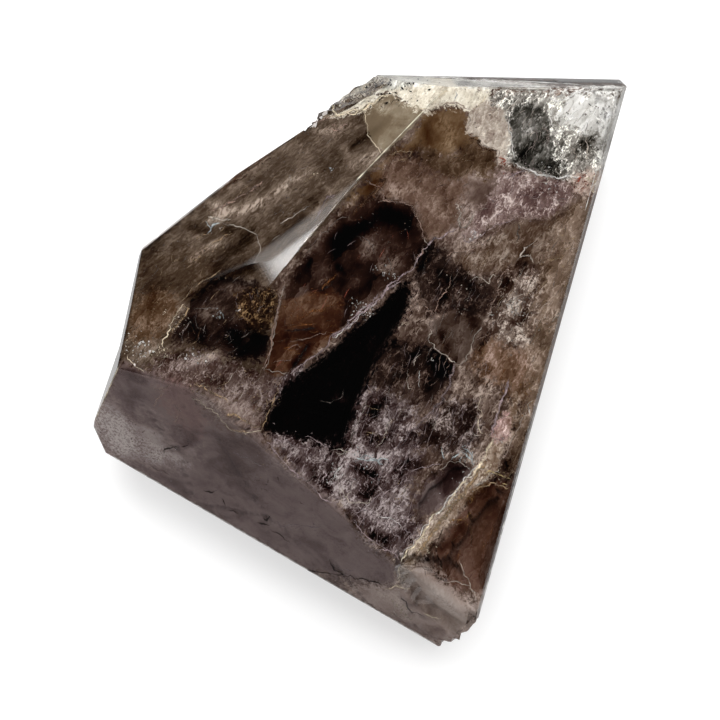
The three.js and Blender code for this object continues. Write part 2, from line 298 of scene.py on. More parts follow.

# %% [markdown]
# ## Outlines of what the viewer sees inside
# Each patch inside the stone has its own outline, drawn in millimetres right and up of the middle of
# the picture. From an outline comes a signed distance, negative inside, which the paint later turns into a
# crisp or a soft edge. A distance survives being spread over a mesh far better than a colour does.

# %% The outlines, x and y in turn, in tenths of a millimetre from the middle of the picture
OUTLINES = {
    "window": (-118, -86, -110, -62, -101, -46, -84, -26, -68, -13, -50, 0, -29, 18, -10, 35, 7, 49, 28, 68, 44,
        86, 53, 97, 60, 86, 61, 70, 53, 50, 43, 34, 34, 19, 24, 2, 13, -17, 5, -36, -4, -53, -10, -72, -17, -91,
        -23, -108, -36, -110, -50, -104, -68, -96, -86, -91, -103, -89),
    "dome": (-31, 166, -17, 182, 0, 194, 22, 197, 41, 192, 58, 187, 67, 178, 72, 158, 79, 144, 68, 122, 60, 106,
        46, 94, 28, 79, 7, 58, -12, 42, -31, 28, -48, 16, -66, 0, -84, -13, -98, -19, -115, -13, -110, 10, -104,
        36, -97, 65, -91, 84, -77, 110, -58, 134),
    "plate": (-95, 70, -86, 72, -36, 89, -19, 72, -24, 36, -41, 19, -65, 0, -84, -13, -98, -19, -115, -13, -107,
        24),
    "olive": (5, 302, 22, 312, 38, 320, 53, 310, 77, 298, 58, 276, 36, 256, 29, 250, 17, 260, 8, 276),
    "leaf": (82, 46, 91, 50, 110, 58, 130, 55, 149, 50, 145, 36, 139, 22, 132, 10, 122, -2, 115, -7, 106, 2, 94,
        12, 80, 20, 85, 34),
    "crust": (-44, 298, -29, 308, -12, 322, 7, 336, 29, 344, 50, 344, 84, 342, 114, 340, 142, 331, 158, 326,
        158, 302, 149, 298, 134, 298, 121, 302, 110, 307, 96, 305, 82, 298, 67, 301, 53, 310, 41, 319, 31, 320,
        17, 312, 7, 301, -10, 298, -26, 292, -41, 296),
    "stepped": (132, 298, 149, 312, 168, 307, 178, 298, 182, 264, 185, 240, 173, 233, 166, 234, 164, 254, 146,
        258, 144, 269, 127, 272, 130, 286),
    "darkblock": (179, 298, 185, 307, 199, 310, 211, 307, 223, 298, 229, 283, 233, 252, 235, 228, 226, 221, 206,
        226, 186, 238, 181, 269),
    # Partly white veils, partly the bright paper seen through the clear tip, painted as light
    "whitezone": (230, 324, 247, 314, 268, 325, 317, 326, 308, 276, 295, 230, 283, 252, 269, 274, 247, 283, 232,
        290),
    "tip": (158, 326, 317, 326, 293, 211, 276, 204, 258, 214, 226, 220, 204, 226, 174, 238, 182, 276, 168, 306,
        156, 307),
    "mauve": (38, 228, 84, 240, 126, 252, 168, 230, 204, 223, 230, 216, 262, 209, 276, 202, 264, 185, 240, 178,
        223, 169, 204, 170, 186, 167, 164, 161, 144, 154, 130, 144, 110, 137, 94, 144, 78, 149, 70, 175, 53,
        188, 38, 192),
    "rust_tip": (252, 216, 262, 226, 283, 228, 295, 221, 290, 199, 274, 197, 257, 202),
    "rightband": (258, 192, 286, 197, 276, 149, 258, 82, 240, 18, 226, -26, 211, -72, 198, -114, 182, -144, 174,
        -132, 180, -96, 192, -54, 202, -12, 204, 36, 214, 84, 226, 132, 240, 168),
    "vein": (187, -42, 194, -44, 185, -78, 172, -108, 164, -132, 148, -156, 127, -173, 108, -192, 91, -211, 77,
        -230, 60, -254, 47, -271, 43, -254, 58, -230, 72, -214, 91, -190, 108, -170, 125, -156, 137, -137, 151,
        -114, 166, -84, 178, -58),
    "glassy": (142, -158, 163, -146, 187, -149, 178, -192, 166, -240, 156, -276, 137, -288, 110, -271, 82, -242,
        96, -222, 115, -197, 130, -175),
    "milky": (47, -269, 53, -250, 77, -240, 108, -269, 137, -288, 154, -278, 144, -312, 132, -331, 96, -343, 72,
        -334, 38, -314, -12, -283, -10, -269, 14, -271, 29, -271),
    "brownleft": (-262, 118, -221, 137, -182, 132, -173, 106, -197, 82, -214, 67, -226, 41, -230, 19, -252, 17,
        -281, 12, -283, 26, -275, 72),
    "darkvee": (-169, 102, -122, 96, -115, 72, -118, 48, -144, 14, -178, 10, -204, 24, -226, 14, -226, 34, -211,
        65, -190, 84),
    "crackle": (-149, 77, -125, 86, -101, 84, -94, 72, -101, 43, -118, 29, -137, 36, -146, 58),
    # The grey of the base face: partly haze in the stone, partly its painted sheen
    "base_haze_and_sheen": (-286, -2, -240, -17, -204, -43, -166, -67, -125, -86, -94, -121, -52, -157, -24, -176, 6, -222,
        46, -248, 43, -268, 28, -270, -18, -260, -60, -250, -108, -227, -216, -164, -302, -114, -317, -84, -307,
        -43),
    # A painted highlight: the soft pale reflection on the corner of the base face
    "painted_sheen_corner": (-312, -50, -290, -48, -264, -62, -228, -86, -192, -103, -204, -122, -240, -132, -278, -125,
        -307, -110, -318, -84),
    "tan": (-206, -38, -175, -38, -139, -53, -118, -72, -125, -89, -149, -89, -178, -77, -197, -65),
    "pinkpatch": (-242, -29, -221, -22, -202, -38, -185, -72, -192, -91, -221, -77, -240, -53),
    "greypatch": (-175, -96, -139, -91, -118, -103, -110, -127, -132, -144, -163, -132),
    "sparkle_a": (-281, 26, -230, 34, -228, 12, -240, -7, -264, -7, -286, 10),
    "face_a": (-312, -24, -289, 0, -246, -16, -204, -43, -125, -86, -118, -84, -108, -58, -116, -11, -94, 72,
        -108, 94, -74, 130, -32, 176, 77, 296, 96, 372, -72, 372, -336, 192),
    "tip_clear": (156, 360, 158, 312, 174, 238, 204, 226, 226, 220, 258, 214, 293, 211, 360, 204, 360, 360),
    "black_left": (-167, 32, -155, 40, -125, 37, -106, 26, -109, 7, -120, 0, -140, 2, -157, 0, -167, 7),
    "amber_left": (-276, 56, -263, 78, -242, 83, -223, 76, -216, 66, -226, 44, -233, 32, -256, 24, -277, 22,
        -281, 35),
    "redbrown": (-36, 152, -22, 179, 8, 214, 37, 245, 62, 266, 79, 296, 101, 301, 121, 304, 131, 299, 127, 275,
        145, 269, 145, 257, 121, 252, 101, 242, 72, 254, 44, 247, 30, 233, 25, 208, 8, 188, -17, 167),
    "olive_right": (72, 257, 101, 245, 121, 252, 136, 266, 150, 254, 164, 252, 163, 230, 150, 216, 136, 223,
        116, 214, 91, 223, 72, 238),
    "pinkbrown": (32, 233, 44, 247, 72, 238, 91, 223, 116, 214, 136, 223, 121, 193, 116, 179, 110, 155, 91, 146,
        74, 144, 71, 164, 67, 184, 44, 191, 23, 191, 25, 214),
    "purple_mauve": (167, 228, 185, 223, 209, 223, 223, 220, 248, 216, 258, 208, 253, 191, 228, 169, 204, 172,
        185, 172, 164, 164, 150, 157, 136, 144, 126, 149, 136, 169, 150, 188, 164, 208),
    "brown_mid": (103, 122, 121, 127, 140, 132, 160, 146, 185, 164, 228, 167, 256, 188, 280, 191, 258, 115, 246,
        91, 218, 96, 209, 115, 194, 115, 185, 103, 164, 108, 140, 103, 121, 106, 110, 113),
    "dark_mid": (82, 132, 101, 139, 110, 125, 126, 106, 136, 101, 155, 98, 164, 80, 157, 59, 140, 52, 110, 56,
        101, 52, 86, 44, 77, 66, 70, 71, 62, 96, 70, 113),
    "dark_centre": (23, 17, 44, 22, 62, 10, 79, 19, 101, 10, 110, -2, 108, -25, 96, -47, 82, -67, 62, -84, 44,
        -98, 32, -91, 32, -64, 20, -49, 13, -35, 11, -11),
    "lens": (96, -137, 101, -127, 110, -122, 124, -124, 133, -132, 124, -148, 108, -163, 96, -179, 82, -187, 70,
        -192, 67, -167, 79, -148),
    "dark_mid_low": (82, -70, 101, -49, 121, -47, 140, -49, 143, -70, 145, -89, 136, -108, 116, -113, 91, -108,
        74, -98, 72, -82),
    "lowerveil": (-97, -11, -76, -2, -36, -20, -12, -25, 13, -32, 37, -40, 52, -49, 67, -59, 74, -91, 70, -122,
        62, -162, 67, -192, 79, -197, 70, -216, 47, -240, 28, -226, 1, -206, -10, -187, -26, -172, -46, -169,
        -71, -145, -100, -103, -116, -84, -112, -56),
    "veilband": (-256, -13, -238, 5, -204, 10, -169, 2, -136, -11, -96, -23, -97, -44, -110, -67, -118, -83,
        -133, -89, -150, -86, -167, -72, -190, -52, -204, -47, -230, -35, -248, -25),
    "right_glitter": (164, 91, 185, 113, 209, 115, 223, 91, 248, 85, 241, 52, 233, 19, 209, 17, 185, 12, 160,
        22, 150, 37, 160, 56),
    "rust_right": (140, 17, 160, 26, 185, 12, 223, 17, 228, -2, 218, -24, 204, -56, 185, -52, 175, -32, 150,
        -24, 136, -7),
    "pinkglint": (157, -94, 163, -77, 175, -60, 181, -70, 179, -91, 169, -98, 160, -100),
    "seamglass": (136, -157, 145, -152, 160, -148, 182, -155, 175, -187, 164, -221, 152, -265, 136, -251, 131,
        -230, 133, -209, 136, -184),
    "greyrock": (-14, 323, 11, 340, 28, 343, 42, 340, 77, 341, 86, 334, 62, 328, 37, 328, 20, 331, 1, 320, -10,
        318),
    "topgrey": (110, 337, 150, 336, 185, 334, 223, 331, 223, 326, 185, 328, 157, 328, 136, 328, 116, 329),
    "topright": (228, 325, 258, 328, 282, 329, 317, 328, 314, 323, 270, 323, 256, 317, 244, 313, 229, 313),
}
print("outlines:", len(OUTLINES))

# %% Distance to an outline


def tenths(numbers):
    """Turns a run of x and y in tenths of a millimetre into points in millimetres."""
    return np.array(numbers, float).reshape(-1, 2) / 10


def signed_distance(points, outline):
    """Distance from each point to the closed outline's nearest edge, negative where the point is inside.
    The nearest point of an edge is its start plus a share of it, kept between 0 and 1. A point is inside
    where a line to the right of it crosses the outline an odd number of times."""
    start = tenths(outline)
    step = np.roll(start, -1, axis=0) - start
    nearest = np.full(len(points), np.inf)
    inside = np.zeros(len(points), bool)
    for (x, y), (dx, dy) in zip(start, step):
        px, py = points[:, 0] - x, points[:, 1] - y
        share = np.clip((px * dx + py * dy) / (dx * dx + dy * dy), 0, 1)
        nearest = np.minimum(nearest, np.hypot(px - share * dx, py - share * dy))
        if dy != 0:
            crosses = (py >= 0) != (py - dy >= 0)
            inside ^= crosses & (px < dx * py / dy)
    return np.where(inside, -nearest, nearest)


# %% Soft lights and shadows inside the patches: strength, half width in mm, then the path in tenths
SHADES = [
    (0.34, 0.6, -52, 278, -32, 274, -15, 282), (0.15, 0.6, -94, 255, -62, 276),
    (0.19, 0.6, -157, 209, -125, 233, -106, 245), (0.45, 0.6, -179, 189, -165, 180, -143, 178, -120, 189),
    (0.45, 0.5, -179, 167, -160, 176), (0.26, 0.5, -120, 189, -89, 209),
    (0.26, 0.5, -101, 202, -72, 220, -52, 228), (0.22, 0.3, -91, 216, -76, 219),
    (0.45, 0.5, -203, 119, -189, 130, -167, 142, -150, 151), (0.26, 0.4, -199, 146, -182, 152),
    (0.19, 0.6, -232, 140, -216, 157), (-0.55, 1.1, -157, 152, -135, 147, -150, 135, -169, 119),
    (-0.45, 0.6, -203, 160, -183, 154), (-0.25, 0.5, -192, 180, -178, 197),
    (-0.6, 0.8, -203, 73, -179, 91, -155, 103, -130, 113), (0.26, 0.9, -156, 84, -133, 94),
    (-0.3, 0.7, -30, 245, -47, 230), (-0.3, 0.6, -47, 200, -67, 185, -89, 167), (0.26, 0.8, -8, 233, 14, 242),
    (0.11, 1.0, -74, 245, -45, 262), (-0.2, 0.7, -120, 250, -72, 272),
    (-0.25, 0.7, -258, 127, -243, 142, -218, 159), (0.15, 0.6, -233, 125, -228, 108),
    (-0.15, 1.5, -255, 100, -248, 71), (0.22, 1.0, -263, 44, -238, 44),
    (-0.3, 0.6, -69, 171, -89, 152, -108, 142), (0.19, 0.3, -62, 187, -89, 167),
    (-0.5, 1.5, -160, 34, -140, 7, -120, 22), (-0.5, 1.2, -201, 44, -189, 20), (0.22, 0.7, -189, 56, -167, 61),
    (0.19, 0.4, -226, 54, -209, 64), (0.38, 0.5, -199, 0, -179, 7), (-0.3, 0.5, -243, 2, -233, -7),
    (0.26, 0.7, -263, 17, -245, 17), (-0.25, 0.6, -86, 29, -52, 34), (0.22, 0.6, -69, 71, -59, 54, -37, 76),
    (0.3, 0.4, -47, 93, -27, 103), (-0.4, 0.5, -57, 83, -45, 83), (-0.4, 0.4, -27, 113, -20, 105),
    (-0.5, 1.5, -30, 140, 7, 164, 31, 174), (0.19, 0.6, -47, 147, -10, 167),
    (0.22, 0.5, 2, 147, 17, 132, 0, 125), (-0.45, 0.7, -18, 78, 26, 100), (0.19, 0.7, -86, 7, -47, 17),
    (-0.5, 0.4, -62, 17, -81, -7), (0.22, 0.6, 26, 110, 44, 120), (0.22, 0.4, 4, 64, 31, 83),
    (-0.3, 0.6, -74, 98, -52, 125), (0.3, 0.6, 36, 213, 46, 193), (-0.3, 0.6, 12, 208, 4, 189),
    (0.15, 0.5, 17, 223, 31, 233), (-0.5, 0.5, -9, 257, 23, 279, 35, 289), (0.22, 0.7, 23, 304, 37, 287),
    (0.26, 0.3, 13, 245, 25, 252), (0.22, 1.0, 96, 287, 111, 272), (-0.35, 0.7, 79, 279, 86, 262, 67, 252),
    (0.22, 0.6, 79, 252, 106, 260, 116, 252), (-0.4, 0.8, 45, 250, 67, 238, 82, 242),
    (-0.35, 0.6, 121, 255, 135, 242, 155, 238), (0.26, 0.5, 111, 213, 135, 223, 150, 220),
    (-0.3, 0.6, 13, 223, 1, 203, 18, 213), (0.26, 0.7, 35, 203, 52, 208, 67, 201),
    (-0.3, 0.7, 69, 223, 101, 228, 121, 218), (0.34, 0.8, 123, 189, 135, 174, 126, 164),
    (-0.25, 0.6, 150, 189, 145, 174), (0.22, 0.6, 175, 223, 199, 216, 228, 213),
    (-0.3, 0.6, 192, 198, 228, 203), (0.22, 0.7, 180, 189, 209, 179), (0.3, 0.5, 74, 144, 101, 149, 116, 157),
    (0.22, 0.8, 82, 184, 101, 174), (-0.3, 0.5, 108, 191, 101, 203), (-0.5, 1.1, 28, 174, 52, 169, 60, 152),
    (0.26, 0.6, 1, 144, 15, 140, 8, 130), (-0.45, 1.0, -21, 154, -29, 125),
    (0.22, 0.7, 33, 125, 45, 115, 28, 105), (-0.3, 0.8, -7, 115, -21, 93), (0.3, 0.4, 35, 105, 25, 113),
    (0.26, 0.6, -14, 86, 13, 96), (-0.5, 0.6, -31, 103, -26, 110), (0.26, 0.5, -31, 71, -16, 78),
    (-0.55, 1.0, 82, 135, 72, 113), (0.22, 0.5, 101, 140, 121, 135, 111, 144),
    (0.3, 0.5, 121, 147, 131, 140, 150, 140), (-0.5, 0.8, 96, 105, 111, 91, 101, 71),
    (0.3, 0.6, 133, 125, 155, 120, 177, 130), (0.22, 0.7, 145, 142, 172, 147), (-0.5, 0.8, 126, 100, 135, 81),
    (0.3, 0.4, 116, 86, 106, 66), (0.34, 0.4, 135, 100, 150, 96), (-0.3, 0.7, 140, 66, 121, 56),
    (0.26, 0.4, 101, 66, 91, 51), (0.38, 0.4, 69, 61, 67, 91), (0.22, 0.7, 165, 110, 175, 120),
    (-0.5, 0.7, 177, 93, 192, 105, 199, 125), (0.41, 0.7, 192, 96, 209, 100, 204, 88),
    (0.45, 0.8, 182, 71, 184, 59), (-0.3, 0.5, 167, 71, 172, 86), (0.3, 0.4, 155, 56, 150, 44),
    (0.22, 0.7, 209, 69, 228, 100), (-0.3, 0.6, 199, 51, 184, 44), (0.3, 0.7, 189, 37, 199, 17),
    (-0.4, 0.6, 155, 32, 145, 17), (0.26, 0.6, 121, 34, 116, 12), (-0.3, 0.5, 96, 32, 106, 12),
    (0.34, 0.4, 86, 44, 94, 17, 108, 2), (-0.6, 0.8, 86, -2, 101, -12), (0.26, 0.5, 57, 44, 77, 49),
    (-0.4, 0.7, 45, 22, 67, 17), (-0.35, 0.7, 135, 42, 133, 51), (0.26, 0.5, 140, -2, 155, 7),
    (0.22, 0.8, 219, 149, 238, 169), (-0.3, 0.5, 243, 174, 228, 159), (0.19, 0.9, 253, 140, 248, 115),
    (-0.3, 0.6, 238, 127, 231, 105), (0.22, 0.5, 228, 122, 211, 144), (0.22, 0.8, 233, 78, 228, 59),
    (-0.25, 0.6, 246, 86, 241, 66), (0.3, 0.5, 224, 49, 238, 54), (-0.3, 0.7, 219, 34, 224, 12),
    (0.19, 0.7, 211, 12, 204, -7), (0.38, 0.6, 280, 318, 300, 311, 307, 296), (0.38, 0.7, 228, 321, 258, 318),
    (-0.5, 0.7, 265, 255, 280, 267, 292, 257), (0.22, 0.5, 253, 287, 270, 277),
    (-0.4, 0.6, 238, 257, 248, 238), (0.22, 0.6, 275, 245, 282, 233), (-0.5, 0.7, 189, 242, 199, 252),
    (0.22, 0.5, 192, 287, 204, 279, 199, 267), (-0.4, 0.7, 216, 233, 236, 228),
    (-0.4, 0.7, 209, 304, 194, 306), (0.3, 0.4, 219, 257, 226, 245), (-0.5, 0.5, 167, 316, 184, 311),
    (0.22, 0.6, 202, 318, 214, 321), (-0.5, 0.5, 233, 321, 248, 318), (-0.4, 0.4, 121, 333, 131, 333),
    (-0.5, 0.5, -2, 328, 13, 336), (-0.4, 0.4, 20, 333, 35, 337), (0.3, 0.5, 45, 333, 69, 328),
    (-0.4, 0.3, 57, 328, 67, 323), (-0.5, 0.2, 209, 334, 307, 336), (0.38, 0.2, 116, 337, 209, 333),
    # The first three lights from here lie on the corner of the base face: its painted sheen
    (0.68, 1.5, -312, -67, -302, -84, -289, -103), (0.41, 1.3, -289, -74, -272, -98, -248, -113),
    (0.3, 0.9, -238, -113, -209, -128), (-0.4, 1.2, -287, -20, -263, -30, -277, -47),
    (0.26, 0.7, -248, -30, -233, -35), (0.15, 1.0, -226, -52, -218, -72), (-0.3, 0.7, -199, -94, -214, -108),
    (0.11, 1.5, -199, -45, -184, -74), (-0.25, 2.2, -160, -103, -130, -147),
    (0.11, 2.0, -54, -196, -18, -233, 19, -245), (-0.1, 1.5, -116, -209, -67, -233),
    (-0.3, 0.6, -238, -138, -199, -162), (0.15, 0.7, -189, -162, -169, -172),
    (0.11, 0.7, -47, -258, -18, -263), (0.22, 0.6, -106, -196, -76, -201),
    (0.38, 0.9, -140, -32, -160, -49, -135, -64), (-0.4, 0.6, -182, -23, -165, -27),
    (0.3, 0.6, -192, -45, -177, -57, -160, -72), (0.3, 0.5, -150, -74, -125, -84),
    (-0.5, 0.7, -116, -81, -101, -74), (0.19, 0.6, -108, -37, -116, -57), (-0.3, 0.7, -135, -18, -120, -13),
    (0.3, 0.5, -226, -8, -199, -3), (-0.4, 0.5, -228, 2, -209, 9), (0.22, 0.7, -179, 0, -160, 9),
    (0.26, 0.7, -150, -113, -130, -120), (0.3, 0.6, -108, -120, -91, -133, -67, -145),
    (-0.3, 0.6, -91, -113, -72, -123, -52, -128), (0.34, 0.5, -91, -98, -76, -113),
    (0.3, 0.5, -62, -94, -42, -103), (-0.4, 0.7, -40, -81, -23, -94), (0.26, 0.5, -47, -133, -42, -113),
    (0.45, 0.6, -27, -135, -20, -123), (0.3, 0.4, -57, -147, -32, -169, -18, -172),
    (-0.4, 0.6, -40, -152, -52, -143), (0.3, 0.5, -20, -157, -8, -143), (-0.4, 0.6, 4, -133, 17, -138),
    (0.41, 0.6, 0, -117, 31, -118), (-0.35, 0.6, 7, -162, 22, -157), (0.26, 0.5, -10, -172, 12, -169),
    (-0.3, 0.5, -15, -182, -5, -196), (0.3, 0.6, 7, -182, 26, -189), (0.38, 0.5, 26, -196, 41, -201),
    (-0.35, 0.6, 17, -211, 36, -218), (0.26, 0.4, 7, -218, 26, -228), (0.22, 1.0, 7, -270, 41, -285),
    (0.3, 0.6, -15, -267, -8, -275), (-0.3, 0.6, 22, -304, 41, -312), (0.15, 0.6, -8, -81, -5, -108),
    (0.26, 0.5, 7, -84, 31, -79), (-0.45, 0.6, 14, -98, 31, -94), (0.26, 0.5, 2, -49, 17, -32),
    (-0.4, 0.6, 22, -57, 31, -49), (-0.5, 1.5, -54, -57, -23, -69), (0.26, 0.6, -35, -47, -20, -49),
    (0.22, 0.6, 41, -265, 46, -236), (0.3, 0.5, -270, 0, -255, 9), (-0.5, 0.8, 67, 7, 57, -13),
    (0.3, 0.4, 67, -3, 60, -18, 62, -32), (-0.6, 1.0, 94, 4, 101, -13),
    (0.3, 0.6, 123, -10, 116, -30, 135, -35), (0.26, 0.5, 106, -47, 121, -45), (-0.4, 0.7, 135, -57, 126, -79),
    (0.3, 0.5, 145, -35, 143, -59, 143, -81), (0.38, 0.6, 153, -23, 155, -42), (-0.3, 0.5, 116, -64, 106, -54),
    (-0.5, 0.8, 82, -79, 69, -98, 91, -94), (0.22, 0.5, 47, -81, 72, -74), (0.19, 0.7, 74, -40, 62, -59),
    (-0.4, 0.7, 86, -20, 79, -37), (0.26, 0.4, 91, -69, 89, -81), (-0.45, 0.7, 13, -57, 20, -74),
    (0.26, 0.4, 8, -54, -4, -76, -9, -96), (0.22, 0.4, 35, -76, 25, -96), (-0.4, 0.6, 8, -86, 18, -91),
    (0.38, 0.6, -12, -113, 13, -118, 28, -113), (0.38, 0.5, -29, -133, -21, -143),
    (-0.4, 0.8, -4, -128, 13, -135), (0.3, 0.4, -26, -152, -19, -169), (-0.35, 0.6, 8, -152, -2, -162),
    (0.26, 0.5, 25, -133, 45, -113), (-0.55, 0.6, 45, -133, 55, -123, 47, -147), (0.3, 0.6, 67, -113, 62, -98),
    (-0.3, 0.6, 72, -128, 62, -123), (0.34, 0.5, 101, -103, 104, -118), (0.41, 0.6, 121, -113, 135, -120),
    (-0.6, 1.1, 111, -128, 123, -133, 101, -143), (0.22, 0.6, 86, -147, 96, -162),
    (-0.4, 0.6, 101, -167, 111, -157), (0.34, 0.6, 47, -160, 55, -152),
    (-0.4, 0.6, 69, -187, 77, -182, 67, -196), (0.38, 0.7, 28, -177, 47, -184, 37, -196),
    (0.3, 0.5, 13, -184, 20, -196), (-0.4, 0.7, 13, -211, 33, -221), (0.3, 0.5, 6, -211, 20, -223, 37, -223),
    (-0.4, 0.5, 47, -211, 62, -206), (0.26, 0.5, 67, -204, 57, -218),
    (0.45, 0.5, 135, -133, 121, -152, 108, -169), (0.38, 0.5, 150, -116, 140, -133),
    (0.3, 0.6, 155, -133, 140, -147), (-0.5, 0.6, 160, -145, 145, -157, 131, -172),
    (0.3, 0.5, 101, -182, 86, -192, 69, -214), (0.26, 0.6, 89, -204, 67, -226, 55, -243),
    (-0.45, 0.7, 121, -196, 111, -221, 91, -226), (0.22, 0.6, 111, -192, 128, -187),
    (-0.3, 1.2, 155, -172, 172, -184), (0.22, 1.2, 150, -209, 145, -233), (-0.4, 0.7, 86, -248, 96, -260),
    (0.22, 0.6, 77, -253, 86, -258), (0.22, 0.7, 116, -228, 106, -245), (-0.25, 0.6, 140, -253, 150, -240),
    (0.26, 0.7, 126, -265, 135, -285), (0.22, 1.2, 91, -285, 111, -302), (-0.45, 0.6, 62, -287, 74, -299),
    (0.34, 0.5, 45, -292, 57, -309), (0.3, 0.5, 45, -272, 62, -272), (-0.4, 0.7, 82, -316, 101, -326),
    (0.22, 0.4, 77, -312, 101, -319), (0.22, 0.5, 111, -324, 101, -336), (-0.3, 0.6, 121, -277, 101, -275),
    (0.38, 0.5, 170, -74, 175, -86), (-0.4, 0.6, 184, -79, 197, -89),
    (0.26, 0.4, 199, -67, 189, -86, 177, -98), (0.3, 0.4, 204, -59, 211, -52), (-0.3, 0.5, 199, -49, 192, -57),
    (0.19, 0.9, 189, -15, 204, 0), (-0.3, 0.6, 209, -18, 199, -32), (0.15, 0.7, 224, 9, 219, -20),
    (0.22, 0.6, 155, 9, 160, -5), (-0.4, 0.6, 145, 9, 140, -3), (0.3, 0.4, 167, -35, 165, -54, 157, -74),
    (-0.5, 0.6, 175, -128, 184, -113), (-0.3, 0.6, 180, -147, 184, -133), (0.22, 0.4, 153, -91, 145, -108),
    (0.22, 0.6, 135, -20, 131, -30),
]
print("lights and shadows:", len(SHADES))


def path_distance(points, path):
    """Distance from each point to the nearest place on an open path, one straight step after the other."""
    path = tenths(path)
    nearest = np.full(len(points), np.inf)
    for start, end in zip(path[:-1], path[1:]):
        step = end - start
        share = np.clip(((points - start) @ step) / (step @ step), 0, 1)
        nearest = np.minimum(nearest, np.linalg.norm(points - start - share[:, None] * step, axis=1))
    return nearest


# %% [markdown]
# ## Drawing the surface in
# Light bends when it enters quartz, so what lies deeper looks displaced. Each point of the inner surface is
# therefore traced back: out along the bent ray to the polished face, then straight to the eye. The depth under
# each outline depends on where the point is seen, so the two are worked out twice, each from the other.

# %% Depth under the skin
QUARTZ_IOR = 1.544
UNDER_POLISH_MM = 0.22
SUNKEN = {
    "window": (3.0, 1.2), "darkvee": (0.8, 1.0), "black_left": (1.0, 0.8), "glassy": (1.0, 1.0),
    "dark_centre": (0.7, 0.8), "lens": (0.6, 0.6), "dark_mid": (0.6, 0.8),
}
TIP_SLOPE = 0.10
GAP_DEPTH_MM = 0.9  # added where a direction met no large triangle
SHADE_RANGE = (-0.8, 0.9)


def seen_through_face(points, surface_normals, surface_points):
    """Where the viewer sees points through their own face. The bent ray is v / n plus (cos a / n - cos b)
    times the normal, by the law of refraction; following it back to the face gives the place seen."""
    view = points - eye
    view /= np.linalg.norm(view, axis=1, keepdims=True)
    cos_in = np.clip(-(view * surface_normals).sum(1), 0, 1)
    cos_bent = np.sqrt(1 - (1 - cos_in ** 2) / QUARTZ_IOR ** 2)
    bent = view / QUARTZ_IOR + ((cos_in / QUARTZ_IOR - cos_bent))[:, None] * surface_normals
    above = ((surface_points - points) * surface_normals).sum(1)
    travel = above / np.minimum((bent * surface_normals).sum(1), -0.2)
    shown = cos_in > 0.02
    place = np.where(shown[:, None], points + bent * travel[:, None], points)
    return in_picture(place)


def ramp(distance, width):
    """0 at the outline, 1 at that distance inside it, smooth in between."""
    t = np.clip(-distance / width, 0, 1)
    return t * t * (3 - 2 * t)


face_normals = big_normals[face_number]
slant = np.maximum((rays * face_normals).sum(1), 0.35)
skin_points = HEART + rays * reach[:, None]
picture = in_picture(skin_points)
for turn in range(4):
    depth = np.full(len(rays), UNDER_POLISH_MM)
    for name, (drop, width) in SUNKEN.items():
        depth += drop * ramp(signed_distance(picture, OUTLINES[name]), width)
    tip_inside = np.maximum(-signed_distance(picture, OUTLINES["tip_clear"]), 0)
    depth += TIP_SLOPE * tip_inside
    depth += np.where(lost, GAP_DEPTH_MM, 0)
    inner = HEART + rays * (reach - depth * MM / slant)[:, None]
    picture = seen_through_face(inner, face_normals, skin_points)
print("deepest point under the skin:", round(float(depth.max()), 1), "mm")

# %% The inner surface as a mesh, with one distance per outline
inner_mesh = bpy.data.meshes.new("grown_inside")
inner_mesh.from_pydata(inner.tolist(), [], quads.tolist())
inner_mesh.validate()
for name, outline in OUTLINES.items():
    layer = inner_mesh.attributes.new(name, "FLOAT", "POINT")
    layer.data.foreach_set("value", signed_distance(picture, outline).astype(np.float32))
shade = np.zeros(len(picture))
for strength, width, *path in SHADES:
    shade += strength * np.exp(-(path_distance(picture, path) / width) ** 2)
shade = np.clip(shade, *SHADE_RANGE)
inner_mesh.attributes.new("shade", "FLOAT", "POINT").data.foreach_set("value", shade.astype(np.float32))
grown = bpy.data.objects.new("grown_inside", inner_mesh)
bpy.context.scene.collection.objects.link(grown)
check = bmesh.new()
check.from_mesh(inner_mesh)
if check.calc_volume(signed=True) < 0:
    bmesh.ops.reverse_faces(check, faces=check.faces)
    check.to_mesh(inner_mesh)
open_edges = sum(not e.is_manifold for e in check.edges)
print("inner volume cm3:", round(check.calc_volume() * 1e6, 1), "open edges:", open_edges)
check.free()
inner_mesh.shade_smooth()

# %% [markdown]
# ## Healed cracks and glints
# Between the polish and the inside lie the thin things that catch the eye: healed cracks, seams and tiny
# flakes. Paint on a mesh would blur them, so they are thin ribbons and flakes of their own, each laid where the
# viewer sees it, a tenth of a millimetre under the polish. The pale flakes are painted glints. The lines of light
# along the ridge and the polished edges are painted highlights: they and the small pits are drawn the same way,
# but lie on the polish. The cracks are traced. The short straight seams are not: they are too many to trace, so a
# random draw scatters them inside an outline.

# %% Where a place in the picture lies under the polish


def under_polish(places, depth_mm):
    """From millimetres in the picture to points in the stone: a ray from the eye to the face, then on along the
    bent ray until it is that deep. Also tells which rays miss the stone."""
    aim = TARGET + places[:, :1] * MM * right + places[:, 1:] * MM * up - eye
    aim /= np.linalg.norm(aim, axis=1, keepdims=True)
    far, which, missed = nearest_face(eye, aim, corners, normals, False)
    entry = eye + aim * np.where(missed, 0, far)[:, None]
    flat = normals[which]
    cos_in = np.clip(-(aim * flat).sum(1), 0.05, 1)
    cos_bent = np.sqrt(1 - (1 - cos_in ** 2) / QUARTZ_IOR ** 2)
    bent = aim / QUARTZ_IOR + (cos_in / QUARTZ_IOR - cos_bent)[:, None] * flat
    rough = (areas[which] < BIG_TRIANGLE)[:, None]
    bent = np.where(rough, aim, bent)
    return entry + bent * (depth_mm * MM / np.where(rough[:, 0], 1, cos_bent))[:, None], missed


print("middle of the picture, under the polish:", np.round(under_polish(np.zeros((1, 2)), 0.2)[0] / MM, 1))

